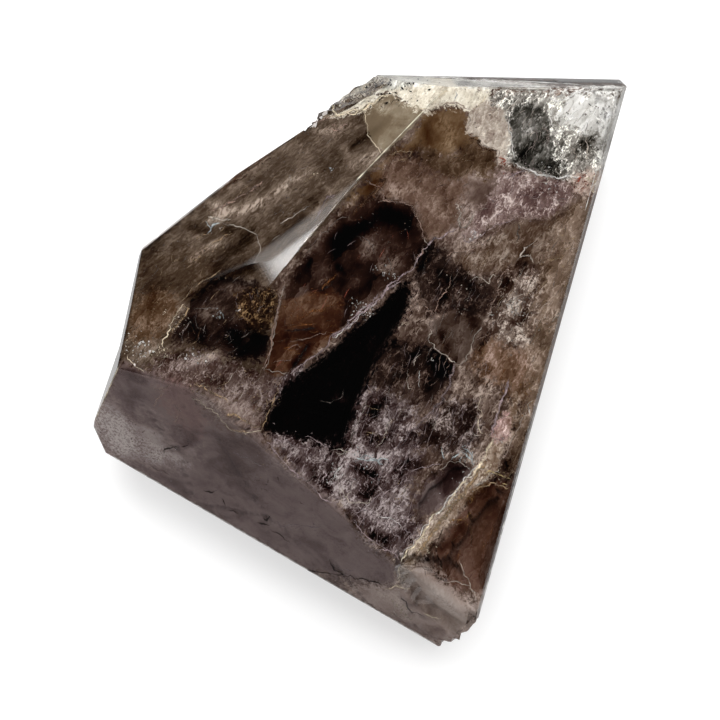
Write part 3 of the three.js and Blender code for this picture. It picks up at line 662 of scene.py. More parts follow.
# %% The traced lines: tint, width in mm, how broken up (0 to 1), then the path in tenths
HEALED_CRACKS = [
    ("pale", 0.11, 0.2, -95, 163, -84, 170, -74, 178, -63, 185), ("pale", 0.10, 0.3, -106, 144, -95, 151),
    ("mauve", 0.36, 0.6, -54, 167, -42, 191, -30, 201), ("cream", 0.12, 0.2, 4, 301, 6, 291, 8, 279, 11, 267,
    17, 260, 23, 252, 26, 245), ("cream", 0.24, 0.3, -32, 310, -34, 302, -30, 294, -20, 293, -8, 296, 4, 300,
    17, 309, 26, 316, 48, 323), ("pale", 0.14, 0.4, -165, 164, -155, 163, -145, 160, -135, 156, -127, 153, -123,
    149, -124, 146, -120, 140, -119, 133, -122, 127, -125, 121, -128, 115), ("cyan", 0.36, 0.4, -179, 157, -176,
    162, -167, 164), ("cyan", 0.18, 0.3, -183, 165, -179, 156, -183, 152), ("tan", 0.26, 0.5, -204, 121, -199,
    119, -194, 122, -189, 127), ("tan", 0.19, 0.5, -189, 130, -179, 140, -169, 144, -160, 149, -152, 153),
    ("tan", 0.17, 0.6, -199, 144, -189, 149, -179, 152), ("tan", 0.14, 0.5, -167, 108, -176, 103, -184, 97,
    -192, 92, -199, 88, -204, 83, -209, 76, -214, 69), ("cream", 0.22, 0.6, -214, 69, -217, 62, -222, 51, -226,
    42, -231, 33, -236, 24, -237, 15), ("tan", 0.31, 0.7, -214, 66, -206, 62, -209, 54, -218, 44, -226, 34),
    ("grey", 0.10, 0.4, -199, 62, -184, 62, -169, 64), ("grey", 0.10, 0.5, -199, 51, -192, 37, -184, 32),
    ("pinkish", 0.31, 0.2, -90, 93, -94, 83, -97, 66, -100, 54, -103, 34, -108, 12, -112, -2, -115, -11),
    ("pale", 0.10, 0.2, -89, 94, -93, 83, -96, 66, -99, 54, -102, 34, -107, 12, -111, -2, -115, -12), ("pale",
    0.11, 0.2, -116, -12, -106, -15, -95, -17, -86, -15), ("lilac", 0.19, 0.5, -86, -17, -76, -10, -64, -2, -52,
    7, -42, 15, -36, 27), ("lilac", 0.31, 0.5, -36, 27, -27, 32, -13, 42, -3, 51, 7, 62, 22, 71, 31, 83, 48,
    94), ("white", 0.12, 0.5, -35, 26, -27, 31, -12, 40, -2, 50, 8, 61, 22, 70), ("grey", 0.11, 0.3, -68, 125,
    -59, 135, -47, 149, -30, 167, -13, 174), ("pinkish", 0.22, 0.7, -54, 286, -42, 288, -32, 290), ("pinkish",
    0.29, 0.7, -40, 276, -30, 276, -20, 279, -13, 282), ("pinkish", 0.31, 0.7, -179, 179, -165, 184, -150, 191,
    -130, 203, -116, 213), ("pale", 0.29, 0.6, -183, 173, -174, 169, -165, 167, -155, 171), ("umber", 0.54, 0.4,
    -165, 209, -145, 222, -125, 236, -111, 246, -101, 255), ("umber", 0.42, 0.5, -167, 203, -150, 213, -133,
    223), ("dark", 0.24, 0.3, -59, 20, -67, 10, -76, -2, -85, -10), ("dark", 0.17, 0.3, -62, 21, -64, 12, -69,
    5), ("amber", 0.12, 0.4, -76, 78, -76, 61, -75, 44, -64, 42, -49, 43), ("amber", 0.12, 0.4, -83, 76, -82,
    56, -81, 39), ("amber", 0.12, 0.5, -70, 75, -69, 61, -69, 48), ("amber", 0.30, 0.7, -47, 83, -35, 98, -27,
    103), ("amber", 0.24, 0.7, -74, 49, -62, 56, -42, 64, -30, 66), ("dark", 0.30, 0.5, -52, 81, -42, 86, -32,
    93), ("dark", 0.30, 0.5, -91, 34, -72, 36, -54, 37), ("pinkish", 0.12, 0.5, -86, 22, -72, 24, -54, 29, -40,
    34), ("pinkish", 0.12, 0.6, -91, 12, -76, 15, -69, 17), ("pinkish", 0.12, 0.6, -101, -2, -86, 0, -81, 2),
    ("grey", 0.12, 0.5, -5, 149, 4, 144, 12, 140, 17, 127), ("pinkish", 0.16, 0.4, 7, 216, 14, 211, 24, 208, 28,
    201, 26, 191, 36, 191, 48, 189), ("umber", 0.48, 0.5, -10, 174, 4, 189, 17, 203, 26, 216), ("grey", 0.11,
    0.4, -277, 0, -265, -7, -255, -13), ("cream", 0.13, 0.4, -281, 7, -278, 0, -270, -7, -258, -13), ("cream",
    0.16, 0.2, 90, 312, 95, 317, 101, 322, 108, 323), ("cream", 0.22, 0.4, -36, 293, -21, 295, -9, 299, 4, 302,
    17, 310, 28, 319), ("cream", 0.19, 0.4, 48, 310, 55, 308, 62, 305, 72, 302, 84, 301, 94, 304), ("pinkish",
    0.14, 0.4, 94, 304, 104, 307, 116, 309, 126, 305, 133, 300), ("white", 0.13, 0.3, 116, 323, 115, 309),
    ("cream", 0.12, 0.3, 153, 321, 144, 306, 135, 300), ("rust", 0.19, 0.4, 153, 313, 155, 307), ("white", 0.24,
    0.2, 228, 313, 246, 313, 258, 321, 270, 326, 290, 328, 315, 327), ("rust", 0.19, 0.5, 205, 337, 211, 336),
    ("pale", 0.14, 0.3, 133, 299, 131, 289, 127, 274, 131, 269, 140, 269, 146, 269), ("pale", 0.14, 0.3, 144,
    262, 148, 257, 160, 255, 165, 254), ("pale", 0.12, 0.3, 165, 254, 165, 242, 164, 230), ("umber", 0.36, 0.4,
    129, 266, 143, 266, 144, 257, 157, 252, 164, 251), ("white", 0.14, 0.4, 177, 296, 179, 284, 181, 267, 183,
    252, 186, 240), ("pale", 0.12, 0.3, 146, 300, 160, 302, 175, 299, 189, 310), ("white", 0.29, 0.6, 186, 235,
    199, 230, 211, 225, 224, 221, 243, 219, 258, 219, 268, 221), ("lilac", 0.29, 0.7, 175, 218, 187, 223, 199,
    227), ("white", 0.12, 0.2, 230, 299, 230, 284, 231, 269), ("white", 0.60, 0.5, 280, 311, 290, 313, 302, 315,
    307, 304, 303, 289), ("white", 0.36, 0.5, 282, 301, 285, 291, 292, 287), ("white", 0.36, 0.4, 317, 326, 316,
    313, 312, 299, 308, 284, 304, 272), ("white", 0.24, 0.7, 246, 287, 258, 289, 268, 294), ("pale", 0.24, 0.7,
    253, 257, 260, 245, 258, 233), ("pale", 0.24, 0.7, 270, 272, 273, 255, 270, 238), ("grey", 0.36, 0.6, 209,
    277, 214, 267, 206, 257, 199, 252), ("grey", 0.36, 0.6, 219, 279, 226, 272, 224, 257), ("rust", 0.36, 0.7,
    259, 213, 265, 220, 273, 224), ("rust", 0.29, 0.7, 262, 201, 270, 211, 273, 213), ("cream", 0.36, 0.7, 271,
    218, 280, 213, 287, 211), ("cream", 0.30, 0.6, 275, 201, 282, 202, 287, 200), ("rust", 0.36, 0.7, 167, 242,
    175, 240, 167, 233), ("pinkish", 0.22, 0.5, 23, 191, 33, 191, 45, 191, 57, 187, 64, 184, 69, 171, 72, 157,
    75, 146), ("lilac", 0.26, 0.5, 116, 157, 111, 155, 101, 149, 91, 145, 84, 138, 77, 132, 72, 124, 68, 115,
    62, 108, 47, 98, 35, 91, 23, 79), ("lilac", 0.31, 0.5, 23, 79, 11, 66, -4, 54, -16, 42, -36, 27), ("pale",
    0.14, 0.5, 84, 138, 79, 142, 75, 146), ("pinkish", 0.36, 0.6, 74, 138, 72, 127, 67, 120), ("pinkish", 0.19,
    0.5, 101, 122, 111, 129, 123, 127, 135, 132, 150, 140, 165, 154, 168, 161), ("white", 0.19, 0.5, 137, 157,
    138, 149, 133, 142), ("lilac", 0.19, 0.6, 121, 152, 127, 143, 135, 143, 150, 153, 165, 163, 172, 163, 186,
    168), ("pale", 0.29, 0.6, 115, 189, 121, 179, 118, 167, 123, 159, 133, 164, 138, 176), ("grey", 0.19, 0.5,
    189, 164, 191, 152, 188, 140), ("pale", 0.17, 0.5, 84, 39, 83, 29, 82, 21, 89, 17, 99, 9, 108, 2, 116, -5),
    ("pale", 0.17, 0.5, 116, -5, 123, -3, 133, 9, 136, 22, 140, 34, 146, 40), ("pinkish", 0.22, 0.6, 61, 93, 64,
    81, 69, 69, 57, 54, 53, 44), ("pinkish", 0.19, 0.6, 69, 69, 79, 64, 86, 56, 84, 44, 85, 39), ("pinkish",
    0.14, 0.6, 111, 105, 108, 91, 99, 78, 91, 61, 86, 51), ("pinkish", 0.19, 0.6, 184, 120, 180, 113, 170, 100,
    165, 78, 157, 69, 155, 56), ("pale", 0.19, 0.7, 209, 144, 199, 132, 192, 124, 204, 125, 209, 115), ("pale",
    0.19, 0.7, 180, 69, 184, 61, 192, 51), ("pale", 0.17, 0.7, 175, 66, 182, 71, 189, 76, 199, 81), ("pinkish",
    0.19, 0.7, 192, 96, 202, 98, 209, 105, 206, 113), ("white", 0.12, 0.6, 153, 55, 160, 56), ("pale", 0.14,
    0.6, 133, 97, 145, 98, 155, 91, 157, 100, 167, 103), ("tan", 0.19, 0.8, 226, 122, 238, 121, 248, 125),
    ("pale", 0.19, 0.8, 231, 47, 236, 54, 241, 59), ("pale", 0.17, 0.8, 177, 32, 184, 39, 194, 34, 199, 24, 206,
    24), ("pinkish", 0.17, 0.7, 140, 22, 150, 29, 160, 44, 172, 54), ("grey", 0.14, 0.6, 1, 147, 11, 144, 15,
    135, 8, 130), ("grey", 0.14, 0.7, 33, 125, 37, 113, 35, 103), ("umber", 0.36, 0.5, 8, 186, 20, 201, 28, 213,
    30, 223), ("tan", 0.17, 0.6, 35, 245, 50, 252, 62, 250, 60, 242), ("cream", 0.14, 0.5, -204, -47, -196, -49,
    -189, -52, -177, -62, -167, -72, -155, -84, -140, -89, -125, -86, -119, -84), ("tan", 0.36, 0.7, -165, -69,
    -152, -64, -140, -72, -128, -79), ("tan", 0.36, 0.7, -155, -81, -140, -86, -133, -90), ("tan", 0.30, 0.8,
    -199, -27, -189, -32, -174, -42, -160, -49), ("tan", 0.19, 0.5, -95, -23, -98, -32, -106, -57, -111, -67,
    -118, -81), ("lilac", 0.22, 0.4, -114, -96, -106, -103, -101, -113, -91, -123, -76, -138, -62, -147, -47,
    -165, -35, -172, -23, -175), ("pale", 0.14, 0.4, -23, -175, -13, -172, 0, -172, 12, -171), ("lilac", 0.14,
    0.4, -8, -189, -3, -201, 7, -216, 19, -224, 31, -229, 48, -228), ("lilac", 0.12, 0.4, -8, -189, 2, -179, 12,
    -174), ("grey", 0.14, 0.5, -69, -147, -59, -145, -54, -133), ("white", 0.19, 0.5, -31, -145, -30, -135, -20,
    -128), ("pale", 0.14, 0.5, -25, -147, -23, -162, -20, -172), ("cyan", 0.29, 0.5, -5, -120, 7, -116, 19,
    -118, 36, -120), ("pale", 0.14, 0.5, -32, -111, -20, -112, -10, -109), ("lilac", 0.14, 0.6, -67, -91, -54,
    -96, -47, -101, -37, -103), ("lilac", 0.19, 0.7, -106, -98, -91, -96, -79, -103), ("lilac", 0.17, 0.6, -45,
    -128, -40, -138, -45, -147), ("lilac", 0.17, 0.6, -18, -133, -15, -123, -5, -128), ("grey", 0.10, 0.4, -47,
    -49, -35, -49, -23, -47, -20, -37), ("umber", 0.24, 0.3, -250, -127, -243, -129, -236, -134, -228, -139),
    ("mauve", 0.17, 0.4, -106, -194, -96, -198, -81, -199, -62, -200, -47, -199), ("mauve", 0.14, 0.4, -31,
    -248, -23, -252, -8, -253), ("tan", 0.14, 0.5, -18, -265, -15, -275, -8, -277), ("mauve", 0.19, 0.6, -155,
    -113, -140, -116, -130, -123, -116, -128), ("tan", 0.24, 0.7, -248, -37, -238, -35, -228, -32), ("pinkish",
    0.36, 0.8, -248, -57, -243, -47, -233, -40), ("pinkish", 0.36, 0.8, -223, -74, -216, -62, -221, -54),
    ("mauve", 0.36, 0.4, 114, -3, 111, -18, 106, -32, 99, -47, 86, -62, 72, -76, 60, -89, 47, -101, 40, -113,
    33, -125, 25, -135, 22, -152), ("pale", 0.14, 0.5, 37, -67, 35, -74, 29, -89, 23, -106), ("grey", 0.19, 0.5,
    15, -42, 6, -52, 1, -67, -7, -81, -10, -94, -12, -106), ("cyan", 0.29, 0.5, -4, -120, 13, -119, 24, -123,
    30, -126), ("white", 0.17, 0.5, -31, -145, -29, -135, -21, -128), ("pale", 0.14, 0.5, -36, -109, -26, -108,
    -12, -111), ("pale", 0.14, 0.5, -24, -152, -21, -162, -12, -171, 8, -172, 14, -163), ("pale", 0.17, 0.6,
    -19, -167, -9, -157, -4, -147), ("lilac", 0.14, 0.5, -7, -185, 3, -179, 13, -184, 20, -192, 30, -196),
    ("lilac", 0.14, 0.5, 1, -206, 13, -216, 28, -224, 42, -231, 48, -239), ("lilac", 0.17, 0.6, 18, -192, 28,
    -198, 37, -204, 45, -211, 48, -218), ("white", 0.14, 0.6, 23, -187, 35, -189, 45, -194, 50, -201), ("lilac",
    0.14, 0.6, 35, -206, 42, -196, 52, -192, 60, -184), ("lilac", 0.14, 0.6, 50, -221, 57, -214, 67, -204, 74,
    -196), ("lilac", 0.14, 0.6, 8, -184, 13, -172, 23, -162, 37, -157), ("lilac", 0.14, 0.6, 57, -133, 72, -130,
    84, -128, 96, -127), ("tan", 0.24, 0.6, 47, -162, 52, -157, 58, -151), ("cream", 0.14, 0.5, 144, -42, 143,
    -57, 144, -69, 142, -81, 146, -90), ("pale", 0.24, 0.5, 133, -87, 139, -91, 145, -90), ("cyan", 0.22, 0.6,
    108, -120, 117, -116, 120, -110), ("cyan", 0.24, 0.6, 121, -108, 128, -116, 138, -126), ("cyan", 0.19, 0.6,
    101, -120, 100, -111, 97, -103), ("cyan", 0.19, 0.6, 123, -103, 133, -113, 135, -120), ("pale", 0.11, 0.3,
    94, -133, 101, -126, 111, -122, 123, -123, 133, -131), ("lilac", 0.38, 0.4, 177, -25, 172, -45, 167, -62,
    160, -79, 157, -94), ("pink", 0.30, 0.6, 164, -86, 167, -76, 172, -69, 180, -60), ("pink", 0.42, 0.5, 165,
    -96, 172, -94, 177, -89), ("pink", 0.17, 0.4, 160, -81, 157, -89, 162, -96), ("cream", 0.41, 0.5, 160, -94,
    153, -108, 146, -123, 136, -135, 124, -149, 111, -164, 102, -177), ("white", 0.19, 0.5, 140, -128, 133,
    -135, 121, -149, 109, -163, 99, -177, 88, -186), ("cream", 0.31, 0.5, 102, -178, 89, -187, 80, -203, 67,
    -220, 56, -232, 48, -242), ("white", 0.13, 0.5, 86, -187, 77, -203, 65, -218, 54, -231, 47, -241), ("tan",
    0.72, 0.5, 150, -123, 135, -145, 121, -162, 106, -182, 94, -196, 82, -216, 69, -233), ("pale", 0.36, 0.6,
    135, -152, 145, -145, 155, -138, 167, -133), ("pale", 0.11, 0.4, 199, -62, 189, -81, 182, -96, 175, -113),
    ("white", 0.16, 0.5, 203, -57, 205, -69), ("pale", 0.14, 0.5, 209, -49, 202, -52, 199, -62), ("pale", 0.14,
    0.5, 199, -98, 194, -113, 189, -128), ("straw", 0.43, 0.2, 172, -147, 176, -150), ("straw", 0.19, 0.3, 171,
    -136, 174, -136), ("straw", 0.19, 0.6, 150, -136, 157, -135, 167, -138, 180, -143), ("tan", 0.17, 0.5, 133,
    -160, 145, -153, 160, -147, 172, -152, 182, -155), ("gold", 0.18, 0.5, 106, -198, 111, -192, 121, -192, 126,
    -189, 133, -184), ("gold", 0.14, 0.5, 121, -169, 126, -165, 133, -167, 135, -172), ("umber", 0.24, 0.4, 135,
    -184, 133, -201, 135, -216, 133, -226), ("pinkish", 0.14, 0.6, 86, -238, 91, -248, 99, -250, 96, -260),
    ("pinkish", 0.17, 0.6, 72, -243, 79, -250, 77, -260), ("pale", 0.14, 0.4, 101, -267, 116, -265, 131, -272,
    141, -287), ("pale", 0.14, 0.5, 121, -243, 126, -258, 135, -272, 143, -280), ("cream", 0.29, 0.6, 30, -275,
    42, -272, 55, -275, 62, -272), ("pale", 0.19, 0.6, 37, -289, 42, -297, 47, -307, 62, -312, 67, -304),
    ("dark", 0.19, 0.5, 47, -285, 57, -294, 62, -302, 77, -307), ("cream", 0.19, 0.6, 74, -302, 86, -307, 101,
    -309), ("cream", 0.12, 0.2, 45, -265, 46, -253, 48, -245), ("umber", 0.18, 0.3, 101, -198, 96, -209, 86,
    -221, 83, -231), ("pinkish", 0.17, 0.7, 145, -8, 153, -13, 150, -3, 140, -13), ("pale", 0.14, 0.7, 101, -49,
    106, -47, 116, -49), ("pale", 0.19, 0.7, 86, -79, 91, -74, 89, -84), ("white", 0.11, 0.5, 72, -13, 71, -25,
    72, -35), ("pale", 0.12, 0.5, 57, -8, 55, -20, 60, -35, 64, -35), ("pale", 0.14, 0.5, 64, -8, 67, 2, 72, 7),
    ("tan", 0.12, 0.6, 3, -54, 13, -57, 25, -59), ("tan", 0.12, 0.6, 3, -84, 15, -87, 25, -90),
]
PITS = [
    ("dark", 0.25, 0.1, -237, -112, -231, -107, -220, -102), ("dark", 0.22, 0.1, -214, -105, -210, -102, -204,
    -101), ("dark", 0.22, 0.1, -187, -156, -179, -158, -172, -158), ("dark", 0.22, 0.1, -167, -165, -163, -171,
    -160, -176), ("dark", 0.22, 0.1, -160, -180, -152, -183, -143, -187), ("dark", 0.24, 0.1, -125, -145, -119,
    -146), ("dark", 0.22, 0.1, -112, -143, -108, -147), ("dark", 0.22, 0.1, -100, -139, -97, -145), ("dark",
    0.29, 0.1, -114, -155, -112, -157), ("dark", 0.82, 0.1, -116, -188, -113, -192, -109, -189), ("dark", 0.29,
    0.1, -123, -193, -117, -195, -111, -198, -108, -200), ("dark", 0.12, 0.1, -108, -203, -98, -209, -90, -215,
    -85, -218), ("dark", 0.25, 0.1, -87, -217, -85, -219), ("dark", 0.26, 0.1, -35, -245, -30, -252, -23, -258,
    -18, -261), ("dark", 0.17, 0.1, -69, -250, -59, -254, -45, -256, -20, -258, 7, -265, 26, -269), ("dark",
    0.22, 0.1, -72, -171, -69, -173), ("dark", 0.18, 0.1, -58, -196, -53, -198),
]
# Lines drawn on the polish along the ridge and the edges: the pale ones are painted highlights, the light that the
# polished edges catch
PAINTED_EDGE_LINES = [
    ("pale", 0.17, 0.2, -72.0, 134.4, -5.4, 214.3),
    ("straw_white", 0.20, 0.1, -5.4, 214.3, 52.1, 274.1, 76.8, 299.5),
    ("straw_white", 0.14, 0.3, 76.8, 299.5, 104.4, 328.6),
    ("white", 0.17, 0.3, -297.6, -115.0, -199.6, -172.1, -72.0, -246.2),
    ("white", 0.17, 0.4, -72.0, -246.2, 10.6, -294.5, 91.2, -341.5),
    ("white", 0.20, 0.2, 213.1, -51.6, 177.6, -178.8, 143.3, -301.2),
    ("white", 0.12, 0.5, 310.8, 325.2, 270.0, 178.8),
    ("white", 0.17, 0.2, 158.4, 328.3, 228.0, 328.0, 229.2, 314.4),
    ("white", 0.17, 0.2, 229.2, 314.4, 258.0, 321.0, 285.6, 327.8, 313.2, 327.4),
    ("white", 0.17, 0.3, 73.2, 340.1, 160.8, 336.2, 265.2, 330.5),
    ("grey", 0.23, 0.3, 120.0, 338.2, 240.0, 335.3),
    ("cream", 0.17, 0.3, -289.2, -7.2, -316.8, -69.6),
]
# Groups of flakes: tint, x and y in mm, spread, how many, size. The white, cream, pale and cyan ones are painted
# glints: light off tiny inner fractures, painted as bright colour
GLINTS = [
    ("white", -26.3, 1.2, 1.7, 46, 0.16), ("cream", -27.5, 1.7, 1.0, 16, 0.13),
    ("cream", -24.0, 1.2, 1.0, 22, 0.16), ("cyan", -16.9, 5.4, 0.7, 14, 0.16),
    ("white", -19.9, 0.2, 1.1, 26, 0.16), ("mauve", -18.4, 0.0, 1.7, 26, 0.14),
    ("cream", -23.6, 5.6, 0.5, 6, 0.14), ("white", -14.5, 6.1, 0.4, 5, 0.11),
    ("cyan", -3.5, 22.8, 0.3, 5, 0.16), ("cream", -5.3, 22.5, 0.3, 3, 0.14),
    ("pale", -8.6, 21.8, 0.5, 8, 0.14), ("white", 3.4, 10.5, 0.6, 9, 0.13),
    ("white", 1.9, 10.9, 0.3, 3, 0.13), ("white", 0.2, 6.2, 1.1, 22, 0.13),
    ("pale", -17.7, 17.4, 1.7, 26, 0.13), ("pinkish", -2.5, 27.9, 1.5, 30, 0.16),
    ("umber", -12.5, 22.8, 3.4, 40, 0.16), ("tan", -16.5, 14.0, 3.4, 40, 0.12),
    ("grey", -22.8, 14.0, 2.9, 24, 0.12), ("tan", -25.5, 7.1, 2.7, 30, 0.12),
    ("pale", -21.8, 4.2, 1.5, 22, 0.12), ("gold", -11.6, 6.6, 2.0, 60, 0.11),
    ("tan", -10.8, 7.1, 1.5, 30, 0.10), ("mauve", -15.5, 3.4, 2.9, 26, 0.11),
    ("grey", -6.7, 25.0, 4.9, 60, 0.12), ("grey", -9.1, 19.3, 3.9, 46, 0.12),
    ("amber", -4.7, 6.6, 2.9, 24, 0.14), ("white", 29.2, 30.6, 2.0, 50, 0.22),
    ("white", 28.2, 27.2, 2.7, 50, 0.14), ("pale", 25.8, 25.2, 2.2, 30, 0.13),
    ("grey", 20.9, 26.7, 2.2, 40, 0.13), ("lilac", 19.9, 22.8, 1.5, 26, 0.13),
    ("white", 22.8, 22.0, 2.0, 40, 0.13), ("rust", 27.0, 21.3, 1.2, 34, 0.16),
    ("cream", 28.0, 21.3, 1.0, 26, 0.17), ("rust", 17.2, 23.8, 1.0, 16, 0.14),
    ("white", 18.4, 6.1, 1.2, 44, 0.14), ("pale", 19.2, 7.1, 1.7, 30, 0.14),
    ("pale", 15.7, 5.5, 0.7, 12, 0.12), ("pinkish", 19.9, 10.0, 1.5, 26, 0.16),
    ("pale", 23.8, 5.1, 1.5, 26, 0.13), ("pale", 19.2, 3.2, 2.2, 34, 0.14),
    ("pale", 13.5, 9.6, 2.0, 22, 0.12), ("pale", 12.1, 6.1, 0.7, 8, 0.12), ("cream", 5.5, 4.4, 0.7, 8, 0.12),
    ("white", 3.5, 10.5, 1.0, 14, 0.13), ("white", 0.1, 6.0, 1.2, 24, 0.13),
    ("grey", 2.3, 14.9, 3.9, 36, 0.11), ("white", 13.7, 15.2, 0.6, 12, 0.14),
    ("pale", 12.3, 17.9, 1.5, 26, 0.14), ("dark", 2.5, 33.3, 2.9, 70, 0.22),
    ("dark", 5.7, 33.7, 2.7, 50, 0.18), ("grey", 13.5, 33.1, 4.9, 60, 0.17),
    ("grey", 27.0, 33.4, 4.9, 60, 0.18), ("cream", 3.7, 31.3, 1.0, 16, 0.14),
    ("tan", 12.6, 23.0, 2.9, 16, 0.12), ("pinkish", 9.1, 20.8, 4.9, 60, 0.12),
    ("lilac", 20.9, 20.3, 3.9, 60, 0.12), ("tan", 24.6, 14.0, 2.7, 50, 0.14),
    ("tan", 25.3, 9.1, 2.2, 40, 0.14), ("umber", -26.3, -9.4, 3.4, 50, 0.11),
    ("white", -25.5, -11.3, 2.2, 36, 0.10), ("tan", -19.9, -2.5, 2.9, 50, 0.12),
    ("tan", -15.2, -3.7, 3.4, 60, 0.13), ("tan", -11.6, -4.9, 1.7, 30, 0.13),
    ("lilac", -9.1, -10.3, 2.2, 40, 0.12), ("white", -3.0, -13.8, 1.2, 26, 0.13),
    ("cyan", 0.7, -11.8, 2.2, 34, 0.13), ("dark", -12.8, -14.7, 2.0, 14, 0.11),
    ("dark", -4.2, -17.2, 3.9, 14, 0.10), ("mauve", -22.3, -13.8, 2.4, 20, 0.12),
    ("tan", -12.8, -11.6, 2.7, 24, 0.11), ("pink", 17.1, -8.9, 1.0, 40, 0.14),
    ("white", 16.7, -9.6, 0.7, 16, 0.13), ("cyan", 13.5, -12.0, 1.5, 30, 0.13),
    ("cyan", 12.6, -11.3, 1.2, 24, 0.12), ("white", 13.1, -14.5, 1.5, 36, 0.13),
    ("white", 10.8, -17.2, 1.2, 30, 0.12), ("lilac", 3.7, -19.6, 3.2, 80, 0.12),
    ("lilac", 2.3, -21.6, 2.2, 40, 0.12), ("tan", 5.5, -15.7, 1.5, 24, 0.14),
    ("pale", 9.1, -7.6, 0.7, 14, 0.13), ("cream", 15.5, -13.3, 1.0, 20, 0.13),
    ("pinkish", 15.3, -0.8, 1.2, 20, 0.14), ("gold", 18.4, -4.9, 2.0, 30, 0.14),
    ("gold", 19.7, -3.2, 1.5, 24, 0.14), ("umber", 17.5, -12.0, 2.0, 30, 0.17),
    ("gold", 12.3, -19.2, 1.5, 24, 0.12), ("lilac", 5.7, -12.3, 2.0, 30, 0.12),
    ("lilac", -1.2, -14.7, 2.4, 50, 0.12), ("lilac", 6.9, -11.3, 2.2, 30, 0.12),
    ("cream", 7.4, -22.3, 1.5, 30, 0.12), ("cream", 5.0, -29.9, 1.2, 20, 0.16),
    ("white", 8.6, -0.0, 0.3, 3, 0.17), ("pinkish", 7.9, -25.3, 1.2, 20, 0.12),
    ("tan", 3.3, -8.4, 2.9, 30, 0.11),
]
print("healed cracks:", len(HEALED_CRACKS), "groups of glints:", len(GLINTS))

# %% Tints of the cracks and glints
TINTS = {
    "white": (236, 234, 230), "straw_white": (238, 230, 208), "cream": (226, 212, 186),
    "pale": (186, 174, 162), "cyan": (200, 210, 212),
    "lilac": (164, 146, 148), "mauve": (124, 108, 108), "pinkish": (142, 118, 106), "pink": (206, 168, 164),
    "tan": (156, 132, 104), "gold": (142, 104, 60), "amber": (122, 74, 34), "straw": (222, 196, 138),
    "grey": (112, 102, 96), "umber": (74, 48, 30), "rust": (150, 78, 60), "dark": (20, 14, 12),
}


def srgb(red, green, blue):
    """A screen colour from 0 to 255 as the linear light value that shaders use."""
    channel = np.array([red, green, blue]) / 255.0
    linear = np.where(channel <= 0.04045, channel / 12.92, ((channel + 0.055) / 1.055) ** 2.4)
    return (*[float(v) for v in linear], 1.0)


print("a middle grey in linear light:", round(srgb(128, 128, 128)[0], 3))

# %% Ribbons along the cracks
STEP_MM = 0.22
LINE_DEPTH_MM = 0.12
ON_TOP_MM = -0.015
SEAM_SHAKE = 0.35
rng = np.random.default_rng(7)


def ribbon(path, width, shake):
    """A path is resampled at even steps and moved a little at two sizes, by as much as shake says: 1 for a crack,
    0 for a straight edge. Left, middle and right rows lie half a width to either side, square to the path, and
    the width swells and narrows and runs out at both ends."""
    path = tenths(path)
    run = np.r_[0, np.cumsum(np.linalg.norm(np.diff(path, axis=0), axis=1))]
    count = max(4, int(run[-1] / STEP_MM) + 1)
    at = np.linspace(0, run[-1], count)
    line = np.stack([np.interp(at, run, path[:, k]) for k in (0, 1)], axis=1)
    knots = max(3, int(run[-1] / 0.45))
    jag = [np.interp(at, np.linspace(0, run[-1], knots), rng.normal(0, 1, knots)) for k in (0, 1)]
    line = line + (np.stack(jag, axis=1) * 0.12 + rng.normal(0, 0.045, line.shape)) * shake
    along = np.gradient(line, axis=0)
    along /= np.maximum(np.linalg.norm(along, axis=1, keepdims=True), 1e-9)
    across = np.stack([-along[:, 1], along[:, 0]], axis=1)
    swell = np.interp(at, np.linspace(0, run[-1], max(4, count // 2)), rng.uniform(0.25, 1.5, max(4, count // 2)))
    ends = np.clip(np.minimum(at, run[-1] - at) / 0.5, 0.15, 1)
    half = (width * 0.55 * swell * ends)[:, None] * across
    rows = np.stack([line - half, line, line + half], axis=1)
    first = np.arange(count - 1)[:, None] * 3 + np.arange(2)[None, :]
    faces = np.stack([first, first + 1, first + 4, first + 3], axis=-1).reshape(-1, 4)
    side = np.tile([-1.0, 0.0, 1.0], count)
    knots = max(3, int(run[-1] / 0.7))
    bright = np.interp(at, np.linspace(0, run[-1], knots), rng.uniform(0.6, 1.5, knots))
    return rows.reshape(-1, 2), faces, side, np.repeat(bright, 3)[:, None]


def flakes(x, y, spread, count, size):
    """Small four-sided flakes scattered round a place with the normal spread, each turned and sized at random."""
    middle = np.array([x, y]) + rng.normal(0, spread * 0.55, (count, 2))
    turn = rng.uniform(0, 2 * math.pi, count)
    large = size * rng.uniform(0.7, 2.2, count)
    thin = large * rng.uniform(0.3, 0.75, count)
    ends = np.stack([np.cos(turn), np.sin(turn)], axis=1) * large[:, None] / 2
    sides = np.stack([-np.sin(turn), np.cos(turn)], axis=1) * thin[:, None] / 2
    rows = np.stack([middle - ends, middle - sides, middle + ends, middle + sides], axis=1)
    rows += rng.normal(0, 0.15, rows.shape) * large[:, None, None]
    faces = np.arange(count * 4).reshape(-1, 4)
    return rows.reshape(-1, 2), faces, np.zeros(count * 4)


